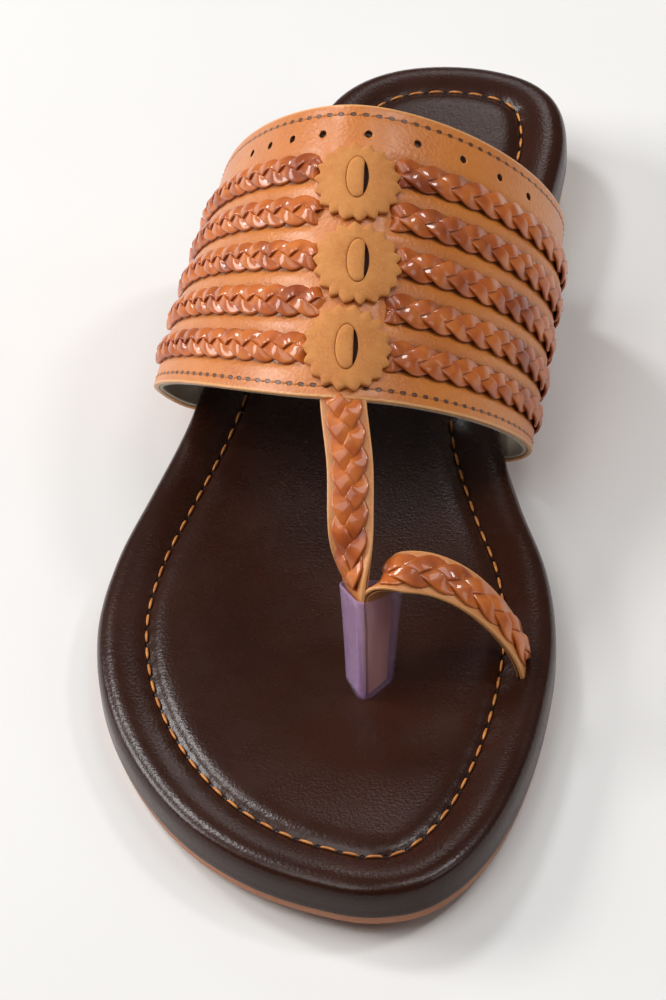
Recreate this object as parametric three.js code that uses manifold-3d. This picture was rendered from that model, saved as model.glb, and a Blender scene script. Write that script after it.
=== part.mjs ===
// Braided toe-ring slide sandal, right foot, in millimetres with +Z up.
//
// The toe points along -Y, the heel along +Y and the big-toe (medial) side along +X.
// The origin is at the centre of the sandal's footprint, on the floor.
//
// Every shape is worked out in shoe coordinates (across, along, up):
//   across  sideways from the heel-to-toe line, medial positive
//   along   distance forward from the back of the heel
//   up      height above the floor
// and place() turns them into the part's own frame.

import * as THREE from 'three';
import { mergeVertices } from 'three/addons/utils/BufferGeometryUtils.js';
import Module from 'manifold-3d';

const wasm = await Module();
wasm.setup();

// ---------------------------------------------------------------- driving dimensions

const LENGTH = 247.3; // back of the heel to the toe tip
const ACROSS_SHIFT = 14.4; // brings the middle of the widest section to X = 0
const GAP = 0.3; // clearance between pieces that touch

const OUTSOLE_THICK = 3.2;
const OUTSOLE_INSET = 0.5; // the outsole stands this far inside the footbed's edge
const FOOTBED_THICK = 7.0;
const HEEL_HEIGHT = 9.0;
const HEEL_FRONT = 54.0; // along position of the heel's front face
const HEEL_TAPER = 1.4; // the heel's foot is this much smaller all round
const RAMP_START = 56.0; // the sole drops from heel height ...
const RAMP_END = 144.0; // ... to the floor between these two
const TOE_SPRING_START = 198.0;
const TOE_SPRING = 4.0;

const BAND_WALL = 2.2; // leather and lining together
const BAND_TUCK = 6.0; // lasted in between footbed and outsole
const BAND_LEAN = { lateral: 1.5, medial: 1.1 }; // how late a section leans as it climbs
const BAND_FULLNESS = { lateral: 1.65, medial: 1.62 }; // power of the arch, 2 is an ellipse

const STRAP_WIDTH = 9.4;
const STRAP_THICK = 2.4;
const STRAP_BURIED = 1.2; // the centre strap's top face is sunk this far in the band
const STRAP_OFFSET = 0.9; // it leaves the band this far medial of the crown line
const SLOT_DEPTH = 3.6; // how far strap ends go down into the footbed
const BRAID_WIDTH = 6.4;
const BRAID_THICK = 1.2;
const BRAID_HEM = 7.0; // the rows stop this far above the sole joint

const BRAID_ROWS = 5;
const FRONT_ROW = 10.2; // from the band's front edge to the middle of the first row
const ROW_PITCH = 10.5;
const ROSETTE_RADIUS = 8.6;
const ROSETTE_PITCH = 18.4;
const ROSETTE_STEP = 1.0; // each rosette sits this much further medial than the one in front
const ROSETTE_THICK = 1.3;
const ROSETTE_TEETH = 15;
const ROSETTE_TOOTH = 0.8;
const TAB_THICK = 1.0;
const TAB_HALF_WIDTH = 2.6;
const TAB_HALF_LENGTH = 4.6;

const SLEEVE_WALL = 0.5;
const SLEEVE_HEIGHT = 21.0;
const SLEEVE_FLARE = 0.4; // its mouth stands this much further out than its foot

const STATIONS = 40; // cross lines from heel to toe in each sole layer
const PANEL_ROWS = 9; // mesh steps of the band from front to rear edge ...
const PANEL_COLUMNS = 52; // ... and from one tucked end to the other
const RECESS_MARGIN = 0.012; // share of the band that the footbed's recess is longer by
const CENTRE_STEPS = 26; // stations along the centre strap
const RING_STEPS = 34; // and along the toe ring's strap
const RING_BRAID_START = 14; // the ring's braid starts at this station, past the sleeve
const BRAID_STEPS = 20; // stations along a braid row
const TAB_POINTS = 16;

// ---------------------------------------------------------------- tables

// Half breadths of the footbed's outline, back to front.
const OUTLINE = [
  { along: 1.6, lateral: -10.5, medial: 12.5 },
  { along: 6.0, lateral: -18.9, medial: 21.6 },
  { along: 13.0, lateral: -25.0, medial: 27.2 },
  { along: 25.0, lateral: -29.3, medial: 29.8 },
  { along: 46.0, lateral: -33.6, medial: 28.0 },
  { along: 73.0, lateral: -39.6, medial: 22.6 },
  { along: 96.0, lateral: -45.0, medial: 18.6 },
  { along: 116.0, lateral: -49.4, medial: 18.8 },
  { along: 136.0, lateral: -55.1, medial: 24.0 },
  { along: 156.0, lateral: -60.2, medial: 30.5 },
  { along: 175.0, lateral: -61.8, medial: 33.0 },
  { along: 195.0, lateral: -58.2, medial: 31.7 },
  { along: 213.0, lateral: -50.0, medial: 28.2 },
  { along: 229.0, lateral: -37.9, medial: 22.7 },
  { along: 239.5, lateral: -24.4, medial: 16.1 },
  { along: 245.2, lateral: -11.0, medial: 9.2 },
];
const HEEL_BACK = { along: 0.0, across: 1.0 };
const TOE_TIP = { along: LENGTH, across: -0.5 };

// The band's sections, front edge (share 0) to rear edge (share 1). The crown is the
// ridge point over the instep, the feet are where the leather leaves the sole, the
// bulges are how far the sides stand out past the sole, and rise is the height of
// the widest point above the sole joint.
const BAND = [
  { share: 0, crownAcross: -11.3, crownAlong: 152.0, crownUp: 53.7,
    lateralFoot: 107.5, lateralBulge: 9.3, lateralRise: 12.4,
    medialFoot: 119.8, medialBulge: 7.2, medialRise: 8.7 },
  { share: 1 / 3, crownAcross: -11.5, crownAlong: 131.0, crownUp: 62.9,
    lateralFoot: 89.7, lateralBulge: 10.0, lateralRise: 12.7,
    medialFoot: 102.2, medialBulge: 10.4, medialRise: 12.0 },
  { share: 2 / 3, crownAcross: -11.7, crownAlong: 110.0, crownUp: 71.3,
    lateralFoot: 72.0, lateralBulge: 10.7, lateralRise: 13.1,
    medialFoot: 83.1, medialBulge: 10.4, medialRise: 15.8 },
  { share: 1, crownAcross: -11.9, crownAlong: 89.3, crownUp: 79.0,
    lateralFoot: 54.2, lateralBulge: 11.6, lateralRise: 13.4,
    medialFoot: 64.1, medialBulge: 7.1, medialRise: 19.6 },
];

// The toe post, where both straps go down side by side. Its base is on the footbed,
// it leans back, and its straps form a V that opens backwards.
const POST = { across: -4.4, along: 193.5, leanBack: 24 };
const POST_V = {
  front: { side: 0, forward: 0 },
  lateral: { side: -3.6, forward: -7.9 },
  medial: { side: 4.6, forward: -7.3 },
};

// Toe ring stations after the post. Turn is the direction across the strap from its
// toe edge to its heel edge, in degrees from the medial direction, and tip is how far
// the heel edge is raised.
const RING = [
  { across: 1.4, along: 180.4, up: 32.0, turn: 72, tip: 12 },
  { across: 7.4, along: 180.0, up: 32.0, turn: 84, tip: 16 },
  { across: 14.2, along: 180.4, up: 28.8, turn: 88, tip: 14 },
  { across: 20.2, along: 181.4, up: 23.0, turn: 90, tip: 10 },
  { across: 24.6, along: 182.6, up: 16.0, turn: 90, tip: 5 },
  { across: 26.2, along: 183.4, up: 10.0, turn: 90, tip: 0 },
];

// A braid row's section: aside in half widths, and out in thicknesses over the band.
const BRAID_PROFILE = [
  { aside: -1, out: 0 },
  { aside: -0.85, out: 0.7 },
  { aside: -0.3, out: 1 },
  { aside: 0.3, out: 1 },
  { aside: 0.85, out: 0.7 },
  { aside: 1, out: 0 },
];

// Rings of a laid disc from its middle outwards, as shares of its radius.
const DISC_RINGS = [0.35, 0.7, 1];

// ---------------------------------------------------------------- small helpers

const place = (across, along, up) =>
  new THREE.Vector3(across + ACROSS_SHIFT, LENGTH / 2 - along, up);

const smooth = (x) => {
  const t = THREE.MathUtils.clamp(x, 0, 1);
  return t * t * t * (t * (6 * t - 15) + 10);
};

// Height of the outsole's underside.
function underside(along) {
  const drop = HEEL_HEIGHT * (1 - smooth((along - RAMP_START) / (RAMP_END - RAMP_START)));
  const spring = Math.max(0, (along - TOE_SPRING_START) / (LENGTH - TOE_SPRING_START));
  return drop + TOE_SPRING * spring * spring;
}

const jointHeight = (along) => underside(along) + OUTSOLE_THICK + GAP;
const footbedTop = (along) => jointHeight(along) + FOOTBED_THICK;

// Cubic value of a table column at a share from 0 to 1, for evenly spaced rows.
function column(rows, name, share) {
  const at = share * (rows.length - 1);
  const k = THREE.MathUtils.clamp(Math.floor(at), 0, rows.length - 2);
  const t = at - k;
  const here = rows[k][name];
  const next = rows[k + 1][name];
  const before = k > 0 ? rows[k - 1][name] : 2 * here - next;
  const after = k + 2 < rows.length ? rows[k + 2][name] : 2 * next - here;
  const slopeHere = (next - before) / 2;
  const slopeNext = (after - here) / 2;
  const t2 = t * t;
  const t3 = t2 * t;
  return (2 * t3 - 3 * t2 + 1) * here + (t3 - 2 * t2 + t) * slopeHere
    + (3 * t2 - 2 * t3) * next + (t3 - t2) * slopeNext;
}

// Value of y at x on a polyline whose x rises.
function lookUp(line, x) {
  let k = 0;
  while (k < line.length - 2 && line[k + 1].x < x) k += 1;
  const a = line[k];
  const b = line[k + 1];
  const t = THREE.MathUtils.clamp((x - a.x) / (b.x - a.x || 1), 0, 1);
  return a.y + t * (b.y - a.y);
}

// ---------------------------------------------------------------- meshes and solids

function meshOf(points, triangles) {
  const geometry = new THREE.BufferGeometry();
  const flat = points.flatMap((p) => [p.x, p.y, p.z]);
  geometry.setAttribute('position', new THREE.Float32BufferAttribute(flat, 3));
  geometry.setIndex(triangles.flat());
  return geometry;
}

function solidOf(geometry) {
  const bare = geometry.clone();
  bare.deleteAttribute('normal');
  bare.deleteAttribute('uv');
  const merged = mergeVertices(bare, 1e-5);
  return new wasm.Manifold(new wasm.Mesh({
    numProp: 3,
    vertProperties: new Float32Array(merged.attributes.position.array),
    triVerts: new Uint32Array(merged.index.array),
  }));
}

function geometryOf(solid) {
  const mesh = solid.getMesh();
  const geometry = new THREE.BufferGeometry();
  geometry.setAttribute('position', new THREE.BufferAttribute(mesh.vertProperties, 3));
  geometry.setIndex(new THREE.BufferAttribute(mesh.triVerts, 1));
  return geometry;
}

// Turns a closed mesh the right way out if its volume comes out negative.
function facingOut(geometry) {
  const index = geometry.index.array;
  const position = geometry.attributes.position;
  const [a, b, c] = [new THREE.Vector3(), new THREE.Vector3(), new THREE.Vector3()];
  let volume = 0;
  for (let i = 0; i < index.length; i += 3) {
    a.fromBufferAttribute(position, index[i]);
    b.fromBufferAttribute(position, index[i + 1]);
    c.fromBufferAttribute(position, index[i + 2]);
    volume += a.dot(b.cross(c));
  }
  if (volume < 0) {
    for (let i = 0; i < index.length; i += 3) {
      [index[i + 1], index[i + 2]] = [index[i + 2], index[i + 1]];
    }
  }
  return geometry;
}

// Skins rings of equal length, one after the other, and closes both ends with caps.
function skin(rings, cap) {
  const count = rings[0].length;
  const triangles = [];
  for (let r = 0; r + 1 < rings.length; r += 1) {
    for (let i = 0; i < count; i += 1) {
      const j = (i + 1) % count;
      const [a, b] = [r * count + i, r * count + j];
      triangles.push([a, b, b + count], [a, b + count, a + count]);
    }
  }
  const last = (rings.length - 1) * count;
  for (const [a, b, c] of cap(count)) {
    triangles.push([a, c, b], [last + a, last + b, last + c]);
  }
  return facingOut(meshOf(rings.flat(), triangles));
}

// Skins rings into a tube that closes on itself, such as a wall's outside and inside.
function skinRound(rings) {
  const count = rings[0].length;
  const triangles = [];
  rings.forEach((ring, r) => {
    const next = ((r + 1) % rings.length) * count;
    for (let i = 0; i < count; i += 1) {
      const j = (i + 1) % count;
      triangles.push([r * count + i, r * count + j, next + j]);
      triangles.push([r * count + i, next + j, next + i]);
    }
  });
  return facingOut(meshOf(rings.flat(), triangles));
}

// Skins rings of equal length between two pole points.
function skinBetweenPoles(rings, poles) {
  const count = rings[0].length;
  const triangles = [];
  const [first, last] = [rings.length * count, rings.length * count + 1];
  for (let i = 0; i < count; i += 1) {
    const j = (i + 1) % count;
    triangles.push([first, j, i]);
    for (let r = 0; r + 1 < rings.length; r += 1) {
      const [a, b] = [r * count + i, r * count + j];
      triangles.push([a, b, b + count], [a, b + count, a + count]);
    }
    triangles.push([last, first - count + i, first - count + j]);
  }
  return facingOut(meshOf([...rings.flat(), ...poles], triangles));
}

const fanCap = (count) =>
  Array.from({ length: count - 2 }, (_, i) => [0, i + 1, i + 2]);

// Closes a ring whose point i lies straight across from point count - i (or, when the
// ring has a flat front, from point count - 1 - i) with a ladder of narrow strips.
const ladderCap = (hasTip) => (count) => {
  const triangles = [];
  const partner = (i) => (hasTip ? (count - i) % count : count - 1 - i);
  const rungs = hasTip ? count / 2 : count / 2 - 1;
  for (let i = 0; i < rungs; i += 1) {
    const [a, b, c, d] = [i, i + 1, partner(i + 1), partner(i)];
    if (b !== c) triangles.push([a, b, c]);
    if (a !== d) triangles.push([a, c, d]);
  }
  return triangles;
};

// ---------------------------------------------------------------- sole outline

const outlineCurve = new THREE.CatmullRomCurve3([
  new THREE.Vector3(HEEL_BACK.across, HEEL_BACK.along, 0),
  ...OUTLINE.map((row) => new THREE.Vector3(row.medial, row.along, 0)),
  new THREE.Vector3(TOE_TIP.across, TOE_TIP.along, 0),
  ...OUTLINE.toReversed().map((row) => new THREE.Vector3(row.lateral, row.along, 0)),
], true, 'centripetal');
outlineCurve.arcLengthDivisions = 1200;
const outlinePoints = outlineCurve.getSpacedPoints(720).slice(0, -1);

// The outline moved inwards, as two lines across(along) that run heel to toe.
function insetSides(inset) {
  const count = outlinePoints.length;
  const moved = outlinePoints.map((p, i) => {
    const before = outlinePoints[(i + count - 1) % count];
    const after = outlinePoints[(i + 1) % count];
    const run = after.clone().sub(before).normalize();
    return new THREE.Vector2(p.y + inset * run.x, p.x - inset * run.y);
  });
  const alongs = moved.map((p) => p.x);
  const back = alongs.indexOf(Math.min(...alongs));
  const front = alongs.indexOf(Math.max(...alongs));
  const turned = (start) => [...moved.slice(start), ...moved.slice(0, start)];
  const medial = turned(back).slice(0, ((front - back + count) % count) + 1);
  const lateral = turned(front).slice(0, ((back - front + count) % count) + 1).reverse();
  return { medial, lateral, start: moved[back].x, end: moved[front].x };
}

// One ring of a sole layer: medial side heel to toe, then lateral side back again.
function soleRing(inset, height, frontLimit = Infinity) {
  const sides = insetSides(inset);
  const end = Math.min(sides.end, frontLimit);
  const cut = end < sides.end;
  const alongAt = (k) => {
    const share = k / STATIONS;
    const eased = cut ? 1 - Math.cos(share * Math.PI / 2) : (1 - Math.cos(share * Math.PI)) / 2;
    return sides.start + (end - sides.start) * eased;
  };
  const point = (side, k) => {
    const along = alongAt(k);
    return place(lookUp(side, along), along, height(along));
  };
  const ring = [];
  const last = cut ? STATIONS : STATIONS - 1;
  for (let k = 0; k <= STATIONS; k += 1) ring.push(point(sides.medial, k));
  for (let k = last; k > 0; k -= 1) ring.push(point(sides.lateral, k));
  return ring;
}

// ---------------------------------------------------------------- sole pieces

function makeOutsole() {
  const rings = [
    [OUTSOLE_INSET + 0.5, 0],
    [OUTSOLE_INSET, 0.5],
    [OUTSOLE_INSET, OUTSOLE_THICK],
  ].map(([inset, up]) => soleRing(inset, (along) => underside(along) + up));
  return skin(rings, ladderCap(true));
}

// The padded footbed, with a round edge like a roll of leather over its board.
function makeFootbed() {
  const rings = [
    [1.5, 0],
    [0.3, 1.3],
    [0, 3.0],
    [0.2, 4.6],
    [1.2, 6.2],
    [3.4, FOOTBED_THICK],
  ].map(([inset, up]) => soleRing(inset, (along) => jointHeight(along) + up));
  return skin(rings, ladderCap(true));
}

function makeHeel() {
  const top = HEEL_HEIGHT - GAP;
  const rings = [
    [OUTSOLE_INSET + HEEL_TAPER, 0, HEEL_FRONT - HEEL_TAPER],
    [OUTSOLE_INSET, top, HEEL_FRONT],
  ].map(([inset, up, front]) => heelRing(inset, up, front));
  return skin(rings, ladderCap(true));
}

// A heel ring starts at the back point, so it has one tip and a flat front.
function heelRing(inset, up, front) {
  const ring = soleRing(inset, () => up, front);
  const middle = ring[STATIONS].clone().lerp(ring[STATIONS + 1], 0.5);
  return [...ring.slice(0, STATIONS + 1), middle, ...ring.slice(STATIONS + 1)];
}

// ---------------------------------------------------------------- the band

const soleEdge = insetSides(OUTSOLE_INSET);
const SECTION_STEPS = 60; // dense steps in each part of a section

// Half of one section as points from the crown down to the tucked end.
function halfSection(share, side) {
  const sign = side === 'medial' ? 1 : -1;
  const value = (name) => column(BAND, name, share);
  const foot = value(`${side}Foot`);
  const joint = jointHeight(foot);
  const edge = lookUp(soleEdge[side], foot);
  const bulge = value(`${side}Bulge`);
  const rise = value(`${side}Rise`);
  const crown = { across: value('crownAcross'), along: value('crownAlong'), up: value('crownUp') };
  const wide = edge + sign * bulge;
  const power = 2 / BAND_FULLNESS[side];
  const flat = [];
  for (let i = 0; i <= SECTION_STEPS; i += 1) {
    const angle = (i / SECTION_STEPS) * Math.PI / 2;
    flat.push([
      crown.across + (wide - crown.across) * Math.sin(angle) ** power,
      joint + rise + (crown.up - joint - rise) * Math.cos(angle) ** power,
    ]);
  }
  for (let i = 1; i <= SECTION_STEPS; i += 1) {
    const angle = (i / SECTION_STEPS) * Math.PI / 2;
    flat.push([edge + sign * bulge * Math.cos(angle), joint + rise * (1 - Math.sin(angle))]);
  }
  for (let i = 1; i <= 4; i += 1) flat.push([edge - sign * BAND_TUCK * (i / 4), joint]);
  return flat.map(([across, up]) => {
    const climb = Math.max(0, (up - joint) / (crown.up - joint)) ** BAND_LEAN[side];
    return place(across, foot + (crown.along - foot) * climb, up);
  });
}

const sectionCache = new Map();

// A half section with the distance from the crown at each of its points.
function measuredSection(share, side) {
  const key = `${side}${share.toFixed(5)}`;
  if (!sectionCache.has(key)) {
    const points = halfSection(share, side);
    const far = [0];
    for (let i = 1; i < points.length; i += 1) {
      far.push(far[i - 1] + points[i].distanceTo(points[i - 1]));
    }
    sectionCache.set(key, { points, far });
  }
  return sectionCache.get(key);
}

const halfGirth = (share, side) => measuredSection(share, side).far.at(-1);

// A point on the band's outer face. Round is the distance from the crown line along
// the leather, medial positive.
function bandFace(share, round) {
  const { points, far } = measuredSection(share, round >= 0 ? 'medial' : 'lateral');
  const target = Math.abs(round);
  let k = 0;
  while (k < far.length - 2 && far[k + 1] < target) k += 1;
  return points[k].clone().lerp(points[k + 1], (target - far[k]) / (far[k + 1] - far[k]));
}

function bandNormal(share, round) {
  const step = 0.02;
  const reach = 1.0;
  const forward = bandFace(share - step, round).sub(bandFace(share + step, round));
  const medial = bandFace(share, round + reach).sub(bandFace(share, round - reach));
  return medial.cross(forward).negate().normalize();
}

const bandPoint = (share, round, out) =>
  bandFace(share, round).addScaledVector(bandNormal(share, round), out);

// A closed panel of band leather between two shares, from one end to the other, with
// its faces at the given distances out from the band's outer face.
function bandPanel({ from, to, low, high, tuckExtra = 0 }) {
  const grid = (out) => {
    const lines = [];
    for (let r = 0; r <= PANEL_ROWS; r += 1) {
      const share = from + (to - from) * (r / PANEL_ROWS);
      const line = [];
      for (let c = 0; c <= PANEL_COLUMNS; c += 1) {
        const sideways = (c / PANEL_COLUMNS) * 2 - 1; // -1 lateral end, 1 medial end
        const side = sideways >= 0 ? 'medial' : 'lateral';
        line.push(bandPoint(share, sideways * (halfGirth(share, side) + tuckExtra), out));
      }
      lines.push(line);
    }
    return lines;
  };
  const outer = grid(high);
  const inner = grid(low);
  const rings = outer.map((line, r) => [...line, ...inner[r].toReversed()]);
  return skin(rings, ladderCap(false));
}

// ---------------------------------------------------------------- straps

// A strap is a run of stations, each with a centre, the direction of its width and the
// way its grain side faces. Its section is a flat bar with small chamfers.
function strapSection(station, width, low, high) {
  const chamfer = Math.min(0.5, (high - low) / 4);
  const half = width / 2;
  const corners = [
    [-half, low + chamfer], [-half + chamfer, low], [half - chamfer, low],
    [half, low + chamfer], [half, high - chamfer], [half - chamfer, high],
    [-half + chamfer, high], [-half, high - chamfer],
  ];
  return corners.map(([sideways, out]) => station.centre.clone()
    .addScaledVector(station.across, sideways)
    .addScaledVector(station.out, out));
}

const strapSolid = (stations, width, low, high) =>
  skin(stations.map((station) => strapSection(station, width, low, high)), fanCap);

// Spreads stations evenly along a curve through the knots, and squares each one's
// width direction to the curve.
function strapRun(knots, count) {
  const curve = new THREE.CatmullRomCurve3(knots.map((k) => k.centre), false, 'centripetal');
  const widths = new THREE.CatmullRomCurve3(knots.map((k) => k.across), false, 'catmullrom');
  const stations = [];
  for (let i = 0; i <= count; i += 1) {
    const t = curve.getUtoTmapping(i / count, 0);
    const along = curve.getTangent(t).normalize();
    const across = widths.getPoint(t);
    across.addScaledVector(along, -across.dot(along)).normalize();
    stations.push({ centre: curve.getPoint(t), along, across, out: along.clone().cross(across) });
  }
  return stations;
}

// ---------------------------------------------------------------- toe post

const lean = THREE.MathUtils.degToRad(POST.leanBack);
const postFoot = place(POST.across, POST.along, footbedTop(POST.along));
const postUp = new THREE.Vector3(0, Math.sin(lean), Math.cos(lean));
const postForward = new THREE.Vector3(0, -Math.cos(lean), Math.sin(lean));
const postSide = new THREE.Vector3(1, 0, 0);

const postPoint = (side, forward, up) => postFoot.clone()
  .addScaledVector(postSide, side)
  .addScaledVector(postForward, forward)
  .addScaledVector(postUp, up);

// Centre and width direction of a strap that fills one arm of the post's V.
function postKnot(arm, up, towardsFront) {
  const { front } = POST_V;
  const across = new THREE.Vector3()
    .addScaledVector(postSide, front.side - arm.side)
    .addScaledVector(postForward, front.forward - arm.forward)
    .normalize();
  if (!towardsFront) across.negate();
  const centre = postPoint((front.side + arm.side) / 2, (front.forward + arm.forward) / 2, up);
  return { centre, across };
}

// ---------------------------------------------------------------- centre strap, toe ring

function centreStrapStations() {
  const inside = -BAND_WALL - STRAP_THICK / 2 + STRAP_BURIED;
  const level = new THREE.Vector3(1, 0, 0);
  const knots = [
    { centre: bandPoint(0.16, STRAP_OFFSET, inside), across: level },
    { centre: bandPoint(0.02, STRAP_OFFSET, inside), across: level },
    { centre: place(-8.6, 162.0, 44.6), across: level },
    { centre: place(-7.8, 173.0, 37.8), across: new THREE.Vector3(0.97, -0.24, 0) },
    postKnot(POST_V.lateral, SLEEVE_HEIGHT, true),
    postKnot(POST_V.lateral, SLEEVE_HEIGHT * 2 / 3, true),
    postKnot(POST_V.lateral, SLEEVE_HEIGHT / 3, true),
    postKnot(POST_V.lateral, -SLOT_DEPTH, true),
  ];
  return strapRun(knots, CENTRE_STEPS);
}

function ringStations() {
  const knots = RING.map((row) => {
    const turn = THREE.MathUtils.degToRad(row.turn);
    const tip = THREE.MathUtils.degToRad(row.tip);
    const across = new THREE.Vector3(
      Math.cos(turn) * Math.cos(tip),
      Math.sin(turn) * Math.cos(tip),
      Math.sin(tip),
    );
    return { centre: place(row.across, row.along, row.up), across };
  });
  const end = knots.at(-1);
  const down = new THREE.Vector3(0, 0, -SLOT_DEPTH);
  return strapRun([
    postKnot(POST_V.medial, -SLOT_DEPTH, false),
    postKnot(POST_V.medial, SLEEVE_HEIGHT / 3, false),
    postKnot(POST_V.medial, SLEEVE_HEIGHT * 2 / 3, false),
    postKnot(POST_V.medial, SLEEVE_HEIGHT, false),
    ...knots,
    { centre: end.centre.clone().add(down), across: end.across },
  ], RING_STEPS);
}

const centreStations = centreStrapStations();
const toeRingStations = ringStations();
const HALF_STRAP = STRAP_THICK / 2;

function makeUpper() {
  const band = solidOf(bandPanel({ from: 0, to: 1, low: -BAND_WALL, high: 0 }));
  const centre = solidOf(strapSolid(centreStations, STRAP_WIDTH, -HALF_STRAP, HALF_STRAP));
  const ring = solidOf(strapSolid(toeRingStations, STRAP_WIDTH, -HALF_STRAP, HALF_STRAP));
  return geometryOf(band.add(centre).add(ring));
}

// The footbed with room for the band's tucked ends and slots for the strap ends.
function makeCutFootbed() {
  const tuck = solidOf(bandPanel({
    from: -RECESS_MARGIN,
    to: 1 + RECESS_MARGIN,
    low: -BAND_WALL - GAP,
    high: GAP,
    tuckExtra: GAP,
  }));
  const roomy = STRAP_WIDTH + 2 * GAP;
  const reach = HALF_STRAP + GAP;
  const slots = [centreStations, toeRingStations].map((stations) => {
    const first = stations[0];
    const last = stations.at(-1);
    const grown = [
      { ...first, centre: first.centre.clone().addScaledVector(first.along, -GAP) },
      ...stations,
      { ...last, centre: last.centre.clone().addScaledVector(last.along, GAP) },
    ];
    return solidOf(strapSolid(grown, roomy, -reach, reach));
  });
  return geometryOf(solidOf(makeFootbed()).subtract(tuck).subtract(slots[0]).subtract(slots[1]));
}

// ---------------------------------------------------------------- braids

const bandLength = (() => {
  let sum = 0;
  const steps = 40;
  for (let i = 0; i < steps; i += 1) {
    sum += bandFace(i / steps, 0).distanceTo(bandFace((i + 1) / steps, 0));
  }
  return sum;
})();
const shareOf = (fromFront) => fromFront / bandLength;

// Rosette centres on the band, by distance from its front edge and from the crown line.
const ROSETTES = ['front', 'middle', 'rear'].map((where, i) => ({
  where,
  fromFront: FRONT_ROW + i * ROSETTE_PITCH,
  round: i * ROSETTE_STEP,
}));

// How far from the crown line a braid row has to start to stay clear of the rosettes.
function rowStart(fromFront, sign) {
  const reaches = ROSETTES.map((rosette) => {
    const aside = Math.max(0, Math.abs(fromFront - rosette.fromFront) - BRAID_WIDTH / 2);
    const reach = Math.sqrt(Math.max(0, ROSETTE_RADIUS ** 2 - aside ** 2));
    return reach > 0 ? reach + sign * rosette.round : 0;
  });
  return Math.max(...reaches) + 2 * GAP;
}

// A braid row on the band: a low dome of plaited leather from the rosettes' edge down
// to just above the sole, on one side.
function makeBraidRow(row, side) {
  const fromFront = FRONT_ROW + row * ROW_PITCH;
  const share = shareOf(fromFront);
  const sign = side === 'medial' ? 1 : -1;
  const start = rowStart(fromFront, sign);
  const end = halfGirth(share, side) - BAND_TUCK - BRAID_HEM;
  const half = BRAID_WIDTH / 2 / bandLength;
  const rings = [];
  for (let i = 0; i <= BRAID_STEPS; i += 1) {
    const round = sign * (start + (end - start) * (i / BRAID_STEPS));
    rings.push(BRAID_PROFILE.map(({ aside, out }) =>
      bandPoint(share + aside * half, round, GAP + out * BRAID_THICK)));
  }
  return skin(rings, fanCap);
}

// The braid on a strap's grain side, over the stations that lie in the open: past the
// band's edge, past the sleeve's mouth and above the footbed.
function makeStrapBraid(stations, isOpen) {
  const low = HALF_STRAP + GAP;
  return strapSolid(stations.filter(isOpen), BRAID_WIDTH, low, low + BRAID_THICK);
}

const pastSleeve = ({ centre }) =>
  centre.clone().sub(postFoot).dot(postUp) > SLEEVE_HEIGHT + 2 * BRAID_THICK;
const pastBand = ({ centre }) => centre.y < bandFace(0, 0).y - BRAID_THICK;
const aboveFootbed = ({ centre }) => centre.z > footbedTop(POST.along) + 2 * BRAID_THICK;

// ---------------------------------------------------------------- rosettes and tabs

// A flat piece laid on the band round a point near the crown line. The outline gives
// the radius at an angle, with zero towards the medial side.
function laidDisc({ fromFront, round }, radiusAt, count, low, high) {
  const share = shareOf(fromFront);
  const at = (scale, angle, out) => {
    const radius = radiusAt(angle) * scale;
    const sharePart = share + radius * Math.sin(angle) / bandLength;
    return bandPoint(sharePart, round + radius * Math.cos(angle), out);
  };
  const ring = ([scale, out]) =>
    Array.from({ length: count }, (_, i) => at(scale, (i / count) * 2 * Math.PI, out));
  const levels = [
    ...DISC_RINGS.map((scale) => [scale, low]),
    ...DISC_RINGS.toReversed().map((scale) => [scale, high]),
  ];
  return skinBetweenPoles(levels.map(ring), [at(0, 0, low), at(0, 0, high)]);
}

const toothed = (angle) =>
  ROSETTE_RADIUS - ROSETTE_TOOTH * (0.5 - 0.5 * Math.cos(ROSETTE_TEETH * angle));

const oval = (angle) =>
  1 / Math.hypot(Math.cos(angle) / TAB_HALF_WIDTH, Math.sin(angle) / TAB_HALF_LENGTH);

const makeRosette = (rosette) =>
  laidDisc(rosette, toothed, ROSETTE_TEETH * 2, GAP, GAP + ROSETTE_THICK);

function makeTab(rosette) {
  const low = ROSETTE_THICK + 2 * GAP;
  return laidDisc(rosette, oval, TAB_POINTS, low, low + TAB_THICK);
}

// ---------------------------------------------------------------- sleeve

// The corners of a triangle rounded by a radius, as one ring at a height on the post.
function roundedTriangle(corners, radius, up) {
  const arcSteps = 6;
  const ring = [];
  corners.forEach((corner, i) => {
    const before = corners[(i + 2) % 3];
    const after = corners[(i + 1) % 3];
    const normalAngle = (a, b) => Math.atan2(a.side - b.side, b.forward - a.forward);
    const start = normalAngle(before, corner);
    let sweep = normalAngle(corner, after) - start;
    if (sweep < 0) sweep += 2 * Math.PI;
    for (let k = 0; k <= arcSteps; k += 1) {
      const angle = start + sweep * (k / arcSteps);
      ring.push(postPoint(
        corner.side + radius * Math.cos(angle),
        corner.forward + radius * Math.sin(angle),
        up,
      ));
    }
  });
  return ring;
}

// The clear film sleeve that holds both strap ends together at the toe post. Its foot
// is cut level, just over the footbed.
function makeSleeve() {
  const corners = [POST_V.front, POST_V.medial, POST_V.lateral].reverse();
  const inside = HALF_STRAP + GAP;
  const outside = inside + SLEEVE_WALL;
  const onFootbed = (ring) => ring.map((p) => {
    const along = LENGTH / 2 - p.y;
    const rise = (footbedTop(along) + GAP - p.z) / postUp.z;
    return p.clone().addScaledVector(postUp, rise);
  });
  const at = (radius, up) => roundedTriangle(corners, radius, up);
  return skinRound([
    onFootbed(at(outside, 0)), at(outside + SLEEVE_FLARE, SLEEVE_HEIGHT),
    at(inside + SLEEVE_FLARE, SLEEVE_HEIGHT), onFootbed(at(inside, 0)),
  ]);
}

// ---------------------------------------------------------------- the assembly

const finish = (color, roughness) =>
  new THREE.MeshStandardMaterial({ color, roughness, metalness: 0 });

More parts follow.
